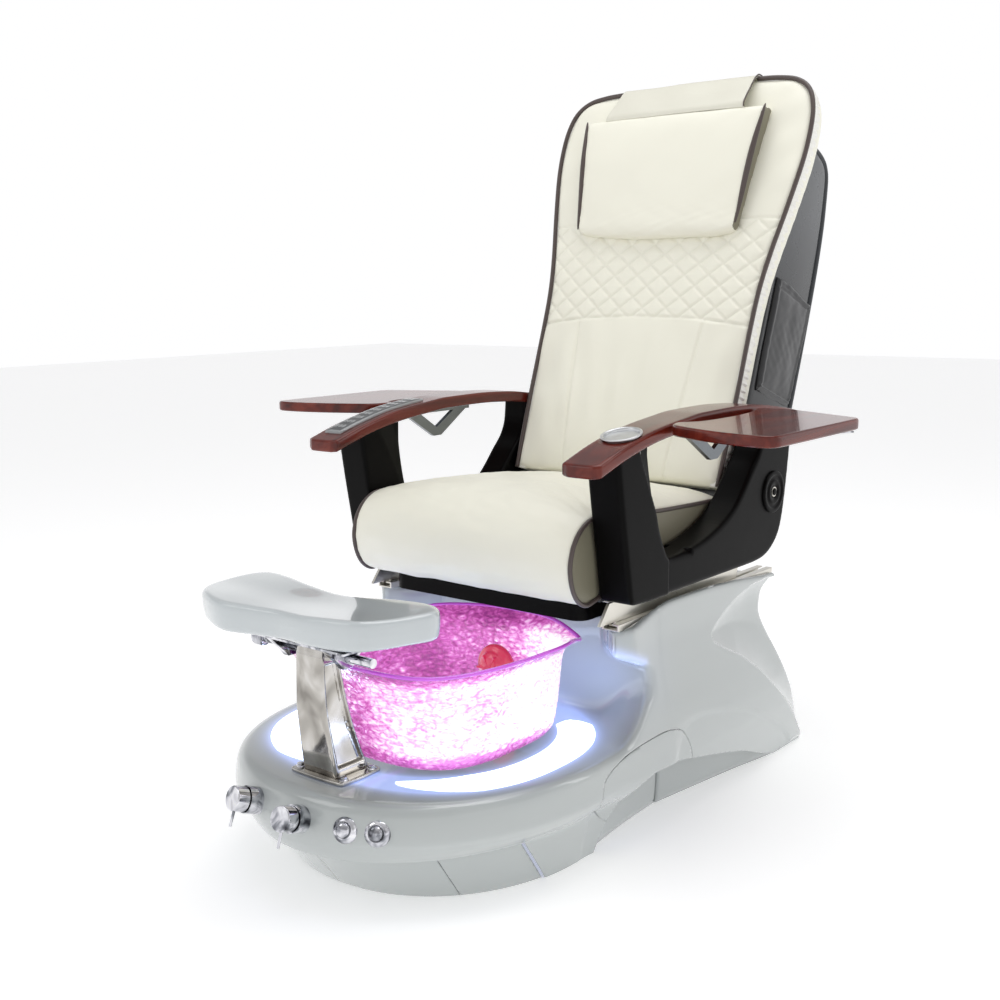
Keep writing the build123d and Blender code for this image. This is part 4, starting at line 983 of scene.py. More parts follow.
def bowl_ring(z, inset):
    """Points round the bowl at one height, with the rim's waves and the ears at the rear corners."""
    rim = step(0.345, 0.3745, z)
    x, y = superellipse(BOWL_TURN, BOWL_X(z) - inset, BOWL_B(z) - inset, 3.1 - 0.45 * rim)
    corner = bell(BOWL_TURN, math.radians(42), 0.16) + bell(BOWL_TURN, math.radians(138), 0.16)
    grow = 1 + rim * (0.050 * corner + 0.012 * np.sin(5 * BOWL_TURN + 0.8))
    lift = rim * (-0.006 * np.sin(BOWL_TURN) + 0.003 * np.cos(4 * BOWL_TURN) - 0.008 * corner - 0.002)
    return np.stack([x * grow, BOWL_Y + y * grow, z + lift], 1)


def hammered(ob, depth, cell, keep):
    """Presses shallow round dimples into a surface along its normals."""
    co, no = coords(ob), normals(ob)
    seeds = co[RNG.choice(len(co), min(len(co), int(1.9 * keep / cell ** 2)), replace=False)]
    tree = kdtree.KDTree(len(seeds))
    for i, p in enumerate(seeds):
        tree.insert(p, i)
    tree.balance()
    near = np.array([[hit[2] for hit in tree.find_n(p, 2)] for p in co])
    ridge = np.clip((near[:, 1] - near[:, 0]) / (0.35 * cell), 0, 1)
    weight = step(0.203, 0.215, co[:, 2]) * (1 - 0.7 * step(0.345, 0.36, co[:, 2]))
    set_coords(ob, co - no * (depth * ridge ** 0.7 * weight)[:, None])


levels = np.concatenate([np.linspace(0.1945, 0.24, 18)[:-1], np.linspace(0.24, 0.345, 34),
                         np.linspace(0.348, 0.3745, 12)])
rows = [bowl_ring(z, 0) for z in levels]
rows += [bowl_ring(0.3757, t) for t in (0.0012, 0.0035)]
rows += [bowl_ring(z - 0.0005, 0.0055) for z in levels[::-1][:-6]]
inner_floor = bowl_ring(0.2005, 0)
for shrink in (0.93, 0.8, 0.6, 0.35, 0.1):
    ring_points = inner_floor.copy()
    ring_points[:, 0] *= shrink
    ring_points[:, 1] = BOWL_Y + (ring_points[:, 1] - BOWL_Y) * shrink
    ring_points[:, 2] = 0.2025
    rows.append(ring_points)
bowl = loft("glass_bowl_hammered", rows)
hammered(bowl, 0.0028, 0.0145, 0.42)
place(bowl, "base", BOWL, "bowl_glass", "glass_bowl")
bowl.visible_diffuse = False
bowl.visible_glossy = False

rim_bead = tube("glass_bowl_rim", bowl_ring(0.3748, 0.0022), 0.0042, closed=True, steps=12, flatten=0.8)
place(rim_bead, "base", RIM_LAMP_GLOW, "bowl_glass")

# jet cover: a domed grille on the rear wall
JET = np.array([0.0, -0.168, 0.270])
profile = [(0.0, 0.0), (0.0, 0.043), (0.004, 0.0435), (0.009, 0.042), (0.013, 0.0375), (0.0135, 0.033),
           (0.018, 0.031), (0.024, 0.026), (0.028, 0.018), (0.0295, 0.008), (0.030, 0.0)]
jet = lathe("jet_cover_dome", profile, JET, (0, -1, 0), 72)
place(jet, "base", JET_RED_GLOW, "bowl_glass", "jet_cover")
turn = np.linspace(0, 2 * math.pi, 40)[:-1]
jet_circle = JET + np.stack([0.0345 * np.cos(turn), np.full(39, -0.004), 0.0345 * np.sin(turn)], 1)
jet_ring = tube("jet_cover_ring", jet_circle, 0.0042, closed=True, steps=10)
place(jet_ring, "base", JET_RIM_GLOW, "bowl_glass")

# ---------------------------------------------------------------- footrest

PAD = smooth([(-0.176, -0.718), (-0.111, -0.738), (-0.046, -0.724), (0.002, -0.715), (0.062, -0.717),
              (0.121, -0.712), (0.168, -0.700), (0.194, -0.668), (0.212, -0.625), (0.224, -0.585),
              (0.205, -0.558), (0.173, -0.547), (0.112, -0.550), (0.058, -0.562), (-0.002, -0.570),
              (-0.091, -0.560), (-0.154, -0.548), (-0.205, -0.546), (-0.228, -0.574), (-0.233, -0.626),
              (-0.226, -0.662), (-0.208, -0.694)], 90, closed=True)


def pad_field(x, y, z):
    side = polygon_distance(x, y, PAD) + 0.35 * np.maximum(0, 0.475 - z) * 0.35
    top = 0.5000 - 0.0065 * np.exp(-(x / 0.12) ** 2) - 0.002 * bell(y, -0.64, 0.05)
    under = 0.446 + 0.006 * step(0.1, 0.22, np.abs(x))
    f = smax(side, z - top, 0.010)
    return smax(f, under - z, 0.010)


pad = surface("footrest_pad_moulding", pad_field, (-0.25, -0.755, 0.43), (0.245, -0.525, 0.512), 0.004)
place(pad, "footrest", PAD_COAT_TOP_LIT, "gelcoat", "footrest_pad")

POST_HALF = curve([0.19, 0.262, 0.325, 0.40, 0.43], [0.0415, 0.0375, 0.034, 0.031, 0.030])
POST_FRONT = curve([0.194, 0.262, 0.325, 0.419, 0.43], [-0.636, -0.646, -0.653, -0.652, -0.651])
POST_REAR = curve([0.182, 0.237, 0.294, 0.358, 0.402, 0.43], [-0.555, -0.576, -0.592, -0.604, -0.609, -0.610])


def post_field(x, y, z):
    ax = np.abs(x)
    f = smax(smax(ax - POST_HALF(z), POST_FRONT(z) - y, 0.006), y - POST_REAR(z), 0.006)
    web = np.maximum(POST_FRONT(z) + 0.009 - y, y - POST_REAR(z) + 0.006)
    web = np.maximum(web, POST_HALF(z) - 0.009 - ax)
    web = np.maximum(web, np.maximum(0.214 - z, z - 0.392))
    crown = np.where(z > TILT_AXIS[1], np.hypot(y - TILT_AXIS[0], z - TILT_AXIS[1]) - 0.0205, -1)
    return smax(smax(f, -web, 0.003), np.maximum(np.maximum(0.1975 - z, z - 0.431), crown), 0.003)


post = surface("post_column", post_field, (-0.05, -0.665, 0.19), (0.05, -0.54, 0.438), 0.003)
FOOT_PLATE = smooth([(-0.063, -0.636), (-0.048, -0.648), (0.048, -0.648), (0.063, -0.636),
                     (0.063, -0.564), (0.048, -0.552), (-0.048, -0.552), (-0.063, -0.564)], 60, closed=True)
foot = bevel(plate("post_foot", FOOT_PLATE, 2, DECK_Z + 0.0003, 0.1985), 0.002)
post = join("footrest_post_chrome", [post, foot])
place(post, "base", POST_CHROME, "chrome", "footrest_post")

bolts = []
for x in (-0.052, 0.052):
    for y in (-0.632, -0.568):
        bolts.append(lathe("washer", [(0, 0), (0, 0.0080), (0.0010, 0.0083), (0.0016, 0.0078), (0.0016, 0)],
                           (x, y, 0.198), (0, 0, 1), 32))
        corners = np.linspace(0, 2 * math.pi, 7)[:-1] + x * 9
        hexagon = [(x + 0.0062 * math.cos(a), y + 0.0062 * math.sin(a)) for a in corners]
        bolts.append(bevel(plate("head", hexagon, 2, 0.1996, 0.2042), 0.0008, 2))
bolts = join("post_bolt_heads", bolts)
place(bolts, "base", CHROME, "chrome", "post_bolts")


# ---------------------------------------------------------------- controls on the front

def control_axis(x):
    """A control's outward direction: it turns round the nose and tilts up."""
    turn_out = math.radians(-90 + 1.06 * (x + 0.001) * 180 / math.pi * 2.35)
    tilt = math.radians(20)
    return np.array([math.cos(turn_out) * math.cos(tilt), math.sin(turn_out) * math.cos(tilt),
                     math.sin(tilt)])


collars = []
for number in "12":
    mid = np.mean(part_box("button_cap_" + number), axis=0)
    out = control_axis(mid[0])
    seat_at = mid - out * 0.004
    cap = lathe("button_press_cap_" + number, [(0.0, 0.0), (0.0, 0.0105), (0.0125, 0.0105), (0.0145, 0.0122),
                                               (0.0165, 0.0118),
                       (0.0185, 0.0098), (0.0200, 0.0060), (0.0204, 0.0)], seat_at, out, 64)
    place(cap, "button_" + number, CHROME, "chrome", "button_cap_" + number)
    collars.append(lathe("collar", [(-0.004, 0.014), (-0.004, 0.0212), (0.0035, 0.0220), (0.0065, 0.0218),
                                    (0.0098, 0.0198), (0.0122, 0.0150), (0.0128, 0.0132), (0.0120, 0.0126),
                                    (0.0040, 0.0124)], seat_at, out, 72))
collars = join("button_collars", collars)
place(collars, "base", CHROME, "chrome", "button_bezels")


# ---------------------------------------------------------------- CAD parts that keep their shape

def keep(material, width, *names):
    """Gives CAD parts their finish, and rounds their sharp edges."""
    for name in names:
        ob = NODES[name]
        ob.data.materials.clear()
        ob.data.materials.append(material)
        if width:
            add_modifier(ob, "WELD", merge_threshold=1e-5)
            add_modifier(ob, "BEVEL", width=width, segments=3, limit_method="ANGLE",
                         angle_limit=math.radians(35))
            add_modifier(ob, "WEIGHTED_NORMAL", keep_sharp=True, weight=80)


keep(CHROME, 0.0006, "valve_bodies", "valve_knob_left", "valve_knob_right", "footrest_bracket",
     "footrest_shaft",
     "footrest_knob")
keep(CHROME, 0.0, "drain_fitting")

# ---------------------------------------------------------------- seat cushion

SEAT_HALF = 0.26
SEAT_EDGE = np.array([(0.236, 0.500), (0.236, 0.530), (0.232, 0.556), (0.206, 0.567), (0.10, 0.572),
                      (-0.003, 0.577),
                      (-0.10, 0.585), (-0.18, 0.592), (-0.224, 0.593), (-0.255, 0.579), (-0.275, 0.557),
                      (-0.284, 0.535),
                      (-0.287, 0.512), (-0.281, 0.483), (-0.268, 0.460), (-0.248, 0.446), (-0.225, 0.445),
                      (-0.16, 0.462), (-0.10, 0.487), (0.0, 0.496), (0.12, 0.498)])
SEAT_CROWN = np.array([(0.244, 0.500), (0.250, 0.540), (0.244, 0.578), (0.177, 0.594), (0.09, 0.606),
                       (-0.01, 0.617),
                       (-0.09, 0.624), (-0.16, 0.627), (-0.222, 0.622), (-0.259, 0.606), (-0.281, 0.580),
                       (-0.291, 0.548),
                       (-0.294, 0.516), (-0.288, 0.484), (-0.272, 0.458), (-0.252, 0.444), (-0.228, 0.441),
                       (-0.16, 0.456), (-0.10, 0.483), (0.0, 0.493), (0.12, 0.495)])


def seat_ring(x, count=150):
    t = max(0.0, 1 - abs(x / SEAT_HALF) ** 2.6) ** 0.55
    ring_points = smooth(SEAT_EDGE * (1 - t) + SEAT_CROWN * t, count, closed=True)
    return np.stack([np.full(count, x), ring_points[:, 0], ring_points[:, 1]], 1)


stations = SEAT_HALF * np.sin(np.linspace(-math.pi / 2, math.pi / 2, 41))
seat = loft("seat_cushion_cover", [seat_ring(x) for x in stations])
seam = seat_ring(SEAT_HALF)[:, 1:]


def seat_pin(p):
    near = line_distance(p[:, 1], p[:, 2], np.vstack([seam, seam[:1]]))
    edge = (np.abs(p[:, 0]) > SEAT_HALF - 0.006) * (near < 0.006)
    return np.clip(edge + (p[:, 2] < 0.502) * (p[:, 1] > -0.17) + (p[:, 1] > 0.2) * 0.6, 0, 1)


inflate(seat, 3.2, 0.012, pin=seat_pin)
co, no = coords(seat), normals(seat)
across = co[:, 0] - 0.10 - 0.10 * (co[:, 1] + 0.28)
creases = bell(across, 0, 0.045) * bell(co[:, 1], -0.02, 0.09)
rumple = 0.0009 * soft_noise(co, 0.11, 3) + 0.0006 * soft_noise(co * (1, 2.5, 1), 0.05, 9)
fade = step(0.25, 0.225, np.abs(co[:, 0]))
sewn = np.exp(-((co[:, 1] + 0.068 + 0.012 * np.cos(co[:, 0] * 9)) / 0.0035) ** 2) * (co[:, 2] > 0.57)
set_coords(seat, co + no * ((rumple - 0.0016 * creases) * fade - 0.0022 * sewn * fade)[:, None])
place(seat, "seat", CREAM, "cream_leather", "seat_cushion")
# The seat's side panels take the dark copy of the cream leather: painted shade.
seat.data.materials.append(CREAM_SHADED_SIDE)
centre = face_centres(seat)
shaded_flank = np.abs(centre[:, 0]) > SEAT_HALF - 0.0035
shaded_flank &= polygon_distance(centre[:, 1], centre[:, 2], seam) < -0.001
seat.data.polygons.foreach_set("material_index", shaded_flank.astype(np.int32))

cords = []
for side in (1, -1):
    run = smooth(np.vstack([(0.236, 0.512), SEAT_EDGE[1:18], (-0.10, 0.485)]), 150)
    cords.append(tube("cord", [(side * (SEAT_HALF + 0.0005), y, z) for y, z in run], 0.0042, steps=12))
cords = join("seat_piping", cords)
place(cords, "seat", PIPING, "cream_leather")

# ---------------------------------------------------------------- arms

ARM_FRONT = smooth([(-0.2565, 0.775), (-0.2525, 0.73), (-0.248, 0.684), (-0.237, 0.61), (-0.225, 0.54),
                    (-0.2135, 0.470),
                    (-0.2095, 0.4525), (-0.198, 0.4455), (-0.150, 0.443)], 34)
ARM_HEEL = smooth([(0.20, 0.443), (0.253, 0.444), (0.290, 0.450), (0.318, 0.464), (0.340, 0.484),
                   (0.354, 0.512),
                   (0.366, 0.560), (0.379, 0.64), (0.389, 0.720), (0.392, 0.775)], 40)
ARM_SWEEP = smooth([(0.270, 0.775), (0.267, 0.72), (0.262, 0.684), (0.247, 0.655), (0.222, 0.629),
                    (0.190, 0.594),
                    (0.160, 0.567), (0.126, 0.547), (0.090, 0.533), (0.047, 0.521), (0.0, 0.513),
                    (-0.040, 0.509),
                    (-0.074, 0.508), (-0.090, 0.513), (-0.104, 0.535), (-0.122, 0.575), (-0.132, 0.63),
                    (-0.134, 0.69), (-0.130, 0.775)], 70)
ARM = np.vstack([ARM_FRONT, ARM_HEEL, ARM_SWEEP])
CREST = curve([-0.322, -0.238, -0.147, -0.051, 0.010, 0.108, 0.212, 0.284, 0.350, 0.396],
              [0.703, 0.728, 0.747, 0.758, 0.763, 0.764, 0.760, 0.752, 0.742, 0.733])


def arm_field(x, y, z):
    """Arm frame: a post with a raised, creased face, running into the sill and the rear post."""
    f = polygon_distance(y, z, ARM)
    run = np.array([0.085, -0.176]) / math.hypot(0.085, 0.176)
    beyond = (y + 0.178) * -run[1] + (z - 0.694) * run[0]
    behind = np.where(z > 0.518, beyond, y + 0.088)
    proud = 0.0055 * step(0.003, -0.001, behind)
    outer = 0.3295 + proud - np.minimum(0.012, 0.30 * np.maximum(0, beyond) * (y < 0) * step(0.500, 0.520, z))
    f = smax(f, x - outer, 0.0075)
    inner = 0.267 + np.minimum(0.010, 0.22 * np.maximum(0, beyond + 0.012) * (y < 0) * step(0.500, 0.520, z))
    f = smax(f, inner - x, 0.007)
    return np.maximum(f, z - CREST(y) + 0.012)


frame_left = surface("arm_frame_moulding_left", arm_field, (0.258, -0.275, 0.432), (0.346, 0.405, 0.775),
                     0.004)
frame_right = mirrored(frame_left, "arm_frame_moulding_right")
place(frame_left, "seat", BLACK, "black_plastic", "arm_frame_left")
place(frame_right, "seat", BLACK, "black_plastic", "arm_frame_right")

WOOD_PLAN = smooth([(0.280, -0.3225), (0.333, -0.3225), (0.3425, -0.3155), (0.3445, -0.300), (0.3445, -0.1),
                    (0.3445, 0.15),
                    (0.3445, 0.375), (0.3425, 0.389), (0.333, 0.3965), (0.280, 0.3965), (0.2690, 0.389),
                    (0.2665, 0.375), (0.2665, 0.15), (0.2665, -0.1), (0.2665, -0.300), (0.2690, -0.3155)],
                   150, closed=True)


def wood_field(x, y, z):
    f = smax(polygon_distance(x, y, WOOD_PLAN), z - CREST(y), 0.0055)
    return smax(f, CREST(y) - 0.023 - z, 0.0045)


wood_left = surface("arm_cap_wood_left", wood_field, (0.258, -0.332, 0.672), (0.353, 0.405, 0.774), 0.0035)
wood_right = mirrored(wood_left, "arm_cap_wood_right")

# cup holder let into the left arm
CUP_AXIS = np.array([0, -0.235, 0.972])
CUP = np.array([0.306, -0.200, 0.738])


def around_cup(p):
    rel = p - CUP
    along = rel @ CUP_AXIS
    return np.linalg.norm(rel - np.outer(along, CUP_AXIS), axis=1) - 0.031


wood_left = clip(wood_left, lambda p: np.where(p[:, 2] > 0.70, around_cup(p), 1))
cup = lathe("cup_holder_liner", [(0.0005, 0.0335), (0.0030, 0.0365), (0.0048, 0.0362), (0.0055, 0.0345),
                                 (0.0048, 0.0318),
                                 (0.002, 0.0302), (-0.010, 0.0292), (-0.030, 0.0285), (-0.040, 0.0275),
                                 (-0.044, 0.0250), (-0.0455, 0.020), (-0.0457, 0.0)], CUP, CUP_AXIS, 96)
place(wood_left, "seat", WOOD, "dark_wood", "arm_top_left")
place(wood_right, "seat", WOOD, "dark_wood", "arm_top_right")
place(cup, "seat", SILVER, "silver_metal", "cup_holder")

# remote panel: a bezel with a dark key field and its keys, on the right arm
parts, keys = [], []


def on_crest(x, y, lift):
    return (x, y, float(CREST(y)) + lift)


def strip(name, x0, x1, y0, y1, low, high, corner, width):
    """Thin pad with rounded corners that follows the arm's crest."""
    outline = smooth([(x0 + corner, y0), (x1 - corner, y0), (x1 - corner * 0.3, y0 + corner * 0.3),
                      (x1, y0 + corner),
                      (x1, (y0 + y1) / 2), (x1, y1 - corner), (x1 - corner * 0.3, y1 - corner * 0.3),
                      (x1 - corner, y1),
                      (x0 + corner, y1), (x0 + corner * 0.3, y1 - corner * 0.3), (x0, y1 - corner),
                      (x0, (y0 + y1) / 2),
                      (x0, y0 + corner), (x0 + corner * 0.3, y0 + corner * 0.3)], 56, closed=True)
    middle = np.array([(x0 + x1) / 2, (y0 + y1) / 2])
    rows = []
    for shrink, height in ((0, low), (0, high - width), (width * 0.4, high - width * 0.3), (width, high)):
        ring = []
        for p in outline:
            q = p + (middle - p) / np.array([(x1 - x0) / 2, (y1 - y0) / 2]) * shrink
            ring.append(on_crest(q[0], q[1], height))
        rows.append(ring)
    rows = np.array(rows)
    for shrink in (0.8, 0.6, 0.4, 0.2, 0.02):
        ring = [on_crest(*(middle + (np.array(p[:2]) - middle) * (shrink, 1 - (1 - shrink) * 0.35)),
                         high) for p in rows[3]]
        rows = np.concatenate([rows, [ring]])
    return loft(name, rows)


bezel = strip("bezel", -0.3285, -0.2855, -0.290, -0.052, -0.004, 0.0050, 0.008, 0.0018)
field = strip("field", -0.3235, -0.2905, -0.284, -0.058, 0.0045, 0.0056, 0.005, 0.0004)
for row in range(9):
    for column in range(3):
        y = -0.268 + row * 0.0245
        x = -0.3165 + column * 0.0095
        keys.append(strip("key", x - 0.0033, x + 0.0033, y - 0.0058, y + 0.0058, 0.0052, 0.0068, 0.0022,
                          0.0006))
place(bezel, "seat", PANEL, "silver_plastic", "remote_panel")
bezel.name = "remote_bezel"
place(field, "seat", KEYS, "silver_plastic")
field.name = "remote_key_field"
keys = join("remote_keys", keys)
place(keys, "seat", PANEL, "silver_plastic")

# pivot caps: rings turned into a shallow boss
caps = []
for side in (1, -1):
    caps.append(lathe("cap", [(-0.008, 0.0), (-0.008, 0.0425), (0.0026, 0.0425), (0.0036, 0.0412),
                              (0.0036, 0.0345), (0.0028, 0.0332),
                              (0.0018, 0.0320), (0.0018, 0.0255), (0.0036, 0.0238), (0.0040, 0.0215),
                              (0.0032, 0.0135),
                              (0.0016, 0.0122), (0.0010, 0.0110), (0.0012, 0.0080), (0.0040, 0.0070),
                              (0.0048, 0.0052),
                              (0.0046, 0.0)], (side * 0.3305, 0.310, 0.577), (side, 0, 0), 96))
caps = join("arm_pivot_rings", caps)
place(caps, "seat", BLACK, "black_plastic", "arm_pivot_caps")

# ---------------------------------------------------------------- trays and what carries them

keep(SHEET, 0.0008, "tray_bracket_left", "tray_bracket_right", "tray_leaf_left", "tray_leaf_right")
keep(CHROME, 0.0006, "tray_latch_left", "tray_latch_right")
TRAY = np.array([(0.349, -0.092), (0.353, -0.112), (0.366, -0.132), (0.392, -0.147), (0.425, -0.162),
                 (0.462, -0.176),
                 (0.497, -0.186), (0.530, -0.192), (0.558, -0.1935), (0.574, -0.190), (0.583, -0.181),
                 (0.586, -0.165),
                 (0.586, -0.08), (0.585, 0.03), (0.5835, 0.122), (0.581, 0.134), (0.571, 0.145),
                 (0.53, 0.163),
                 (0.48, 0.186), (0.432, 0.208), (0.414, 0.214), (0.396, 0.215), (0.364, 0.209),
                 (0.352, 0.204),
                 (0.348, 0.196), (0.356, 0.172), (0.364, 0.148), (0.372, 0.115), (0.376, 0.082),
                 (0.378, 0.05),
                 (0.3785, 0.015), (0.377, -0.02), (0.372, -0.054), (0.361, -0.076)])
for side in SIDES:
    sign = SIDES[side]
    tray = plate("tray_board_" + side, smooth(TRAY, 130, closed=True) * (sign, 1), 2, 0.735, 0.755)
    bevel(tray, 0.004, 4, 50)
    place(tray, "tray_" + side, WOOD, "dark_wood", "tray_" + side)

# ---------------------------------------------------------------- seat underside

keep(STEEL, 0.0012, "seat_rails", "lower_rails")
keep(BLACK, 0.002, "seat_front_panel")
keep(FRAME_PAINT, 0.001, "seat_frame", "base_frame", "back_frame", "recline_motor", "massage_rails")
keep(STEEL, 0.0, "recline_rod", "back_pivot_pins")
keep(BLACK, 0.0008, "massage_carriage", "power_box", "cable_gland", "drain_pump", "jet_motor")
keep(JET_RED_GLOW, 0.0, "jet_impeller")
keep(RUBBER, 0.0, "kneading_rollers")


# ---------------------------------------------------------------- backrest, in its own frame: x, up, out

def to_world(p):
    return BACK_AT + np.outer(p[:, 0], (1, 0, 0)) + np.outer(p[:, 1], BACK_UP) + np.outer(p[:, 2], BACK_OUT)


def stand_up(ob):
    """Moves a piece built in the backrest's own frame to where the backrest is."""
    set_coords(ob, to_world(coords(ob)))
    return ob


BACK_EDGE = [(0.254, -0.318), (0.258, -0.150), (0.259, 0.0), (0.262, 0.090), (0.272, 0.170), (0.290, 0.270),
             (0.304, 0.360), (0.3075, 0.425), (0.303, 0.475), (0.288, 0.513), (0.258, 0.536), (0.215, 0.545),
             (0.165, 0.548)]
EDGE_RIGHT = smooth(BACK_EDGE, 110)
TOP_EDGE = smooth([(0.165, 0.548), (0.09, 0.5515), (0, 0.5525), (-0.09, 0.5515), (-0.165, 0.548)], 30)[1:-1]
OUTLINE = np.vstack([EDGE_RIGHT, TOP_EDGE, EDGE_RIGHT[::-1] * (-1, 1)])
PIPE_D = -0.013


def back_field(x, s, d):
    inside = -polygon_distance(x, s, OUTLINE)
    crown = 0.012 * (1 - np.exp(-np.maximum(inside, 0) / 0.035))
    f = smax(-inside, d - PIPE_D - crown, 0.014)
    return smax(f, -0.068 - d, 0.012)


def seam_x(s):
    return 0.128 + 0.085 * (s + 0.318)


QUILT_LOW, QUILT_HIGH = 0.012, 0.236
back = surface("back_cover", back_field, (-0.32, -0.335, -0.08), (0.325, 0.57, 0.02), 0.006)


def back_pin(p):
    x, s, d = p.T
    edge = np.abs(polygon_distance(x, s, OUTLINE)) < 0.009
    low = QUILT_LOW + 0.018 * (1 - (x / 0.26) ** 2)
    seams = (np.abs(np.abs(x) - seam_x(s)) < 0.005) & (s < low)
    rows = (np.abs(s - low) < 0.004) | (np.abs(s - QUILT_HIGH) < 0.005)
    quilt = (s > low) & (s < QUILT_HIGH)
    w = np.maximum(edge * 1.0, (d < -0.045) * 1.0)
    w = np.maximum(w, (seams | rows) * (d > -0.03) * 0.75)
    w = np.maximum(w, quilt * (d > -0.03) * 0.35)
    return np.maximum(w, (s > 0.24) * (d > -0.03) * 0.45)


inflate(back, 2.6, 0.011, voxel=0.0052, pin=back_pin)
co, no = coords(back), normals(back)
x, s, d = co.T
facing = step(0.35, 0.75, no[:, 2])
low = QUILT_LOW + 0.018 * (1 - (x / 0.26) ** 2)
within = step(-0.001, 0.004, s - low) * step(0.004, -0.002, s - QUILT_HIGH)
within = within * step(0.002, 0.012, -polygon_distance(x, s, OUTLINE))
QUILT_X, QUILT_S = 0.0585, 0.0475
a, b = x / QUILT_X + s / QUILT_S, x / QUILT_X - s / QUILT_S
scale = 1 / math.hypot(1 / QUILT_X, 1 / QUILT_S)
line_a, line_b = np.abs(a - np.round(a)) * scale, np.abs(b - np.round(b)) * scale
near_line = np.minimum(line_a, line_b)
quilt = -0.0026 * np.exp(-(near_line / 0.0024) ** 2) + 0.0016 * (1 - np.exp(-(near_line / 0.010) ** 2))
press = quilt * within
press -= 0.0030 * np.exp(-((s - low) / 0.0026) ** 2)
press -= 0.0025 * np.exp(-((s - QUILT_HIGH - 0.004) / 0.003) ** 2)
down = step(0.004, -0.01, s - low)
side_seam = np.abs(np.abs(x) - seam_x(s))
press -= 0.0032 * np.exp(-(side_seam / 0.0026) ** 2) * down
press += 0.0030 * np.exp(-(side_seam / 0.024) ** 2) * down
pull = soft_noise(np.stack([x * 3.2, s * 0.9, d], 1), 0.17, 21)
press += 0.0016 * pull * down
folds = np.sin((x + 0.06 * np.sin(s * 9)) / 0.021) * bell(s, -0.02, 0.06) * (np.abs(x) > 0.06)
press += 0.0008 * folds * down
press += 0.0012 * soft_noise(co, 0.13, 4) * (1 - within * 0.7)
high = step(0.24, 0.30, s)
sag = np.sin((s - 0.25 * np.abs(x)) / 0.012 + 2 * np.sin(x * 14)) * bell(np.abs(x), 0.255, 0.035)
press += 0.0009 * sag * high
co[:, 2] += press * facing
set_coords(back, co)
stand_up(back)
place(back, "back", CREAM, "cream_leather", "back_cushion")

# brown cord round the front, and the gathered strip behind it
def outward(line):
    """Unit directions out of the backrest's edge, in its plane."""
    along = np.gradient(line, axis=0)
    return np.stack([along[:, 1], -along[:, 0]], 1) / np.linalg.norm(along, axis=1)[:, None]


pipes = []
for side in (1, -1):
    path = np.stack([EDGE_RIGHT[:, 0] * side, EDGE_RIGHT[:, 1], np.full(110, PIPE_D)], 1)
    out = outward(EDGE_RIGHT)
    path[:, 0] += side * out[:, 0] * 0.0005
    path[:, 1] += out[:, 1] * 0.0005
    pipes.append(tube("pipe", to_world(path), 0.0048, steps=12))
pipes = join("back_piping", pipes)
place(pipes, "back", PIPING, "cream_leather")

strips = []
for side in (1, -1):
    fine = smooth(BACK_EDGE, 620)
    out = outward(fine)
    run = np.linspace(0, 0.95, 620)
    wobble = np.sin(run * 2 * math.pi / 0.0165 + 1.8 * np.sin(run * 31) + side)
    wobble += 0.5 * np.sin(run * 2 * math.pi / 0.0071 + 2 * side)
    rows = []
    for t in np.linspace(0, 1, 12):
        arch = math.sin(math.pi * t)
        bulge = 0.0065 * arch ** 0.6 + 0.0025 * wobble * arch ** 1.2 * (0.35 + 0.65 * t)
        offset = bulge - 0.0015 - 0.006 * t
        rows.append(np.stack([side * (fine[:, 0] + out[:, 0] * offset), fine[:, 1] + out[:, 1] * offset,
                              np.full(620, PIPE_D - 0.002 - 0.042 * t)], 1))
    for t in (0.55, 0.0):
        rows.append(np.stack([side * (fine[:, 0] - out[:, 0] * 0.018), fine[:, 1] - out[:, 1] * 0.018,
                              np.full(620, PIPE_D - 0.002 - 0.042 * t)], 1))
    strips.append(stand_up(edit(grid("strip", np.array(rows), wrap_u=True), fill_holes)))
strips = join("back_gathered_strip", strips)
place(strips, "back", CREAM_GATHER, "cream_leather")

# head pillow
PILLOW_HALF = curve([0.20, 0.215, 0.30, 0.40, 0.470, 0.48], [0.193, 0.196, 0.203, 0.213, 0.221, 0.222])


def pillow_low(x):
    return 0.2145 - 0.016 * (1 - (x / 0.20) ** 2) - 0.008 * bell(x, 0.16, 0.06)


def pillow_field(x, s, d):
    side = np.abs(x) - PILLOW_HALF(s)
    front = 0.0215 + 0.0125 * step(0.215, 0.40, s) + 0.004 * (1 - (x / 0.21) ** 2)
    f = smax(side, d - front, 0.006)
    f = smax(f, pillow_low(x) - s, 0.014)
    f = smax(f, s - 0.474 + 0.25 * np.maximum(0, d), 0.008)
    return smax(f, -0.004 - d, 0.004)


pillow = surface("head_pillow_cover", pillow_field, (-0.24, 0.17, -0.012), (0.24, 0.49, 0.052), 0.005)


def pillow_pin(p):
    x, s, d = p.T
    edge = (np.abs(np.abs(x) - PILLOW_HALF(s)) < 0.006) & (d > 0.014)
    return np.clip(edge * 1.0 + (d < 0.004) + (s > 0.462) * 0.9, 0, 1)


inflate(pillow, 2.4, 0.009, voxel=0.005, pin=pillow_pin)
co, no = coords(pillow), normals(pillow)
facing = step(0.3, 0.8, no[:, 2])
rumple = 0.0007 * soft_noise(co, 0.09, 5)
rumple += 0.0005 * soft_noise(co * (1, 2, 1), 0.035, 6) * step(0.29, 0.22, co[:, 1])
co[:, 2] += rumple * facing
set_coords(pillow, co)
place(pillow, "back", CREAM, "cream_leather", "head_pillow")
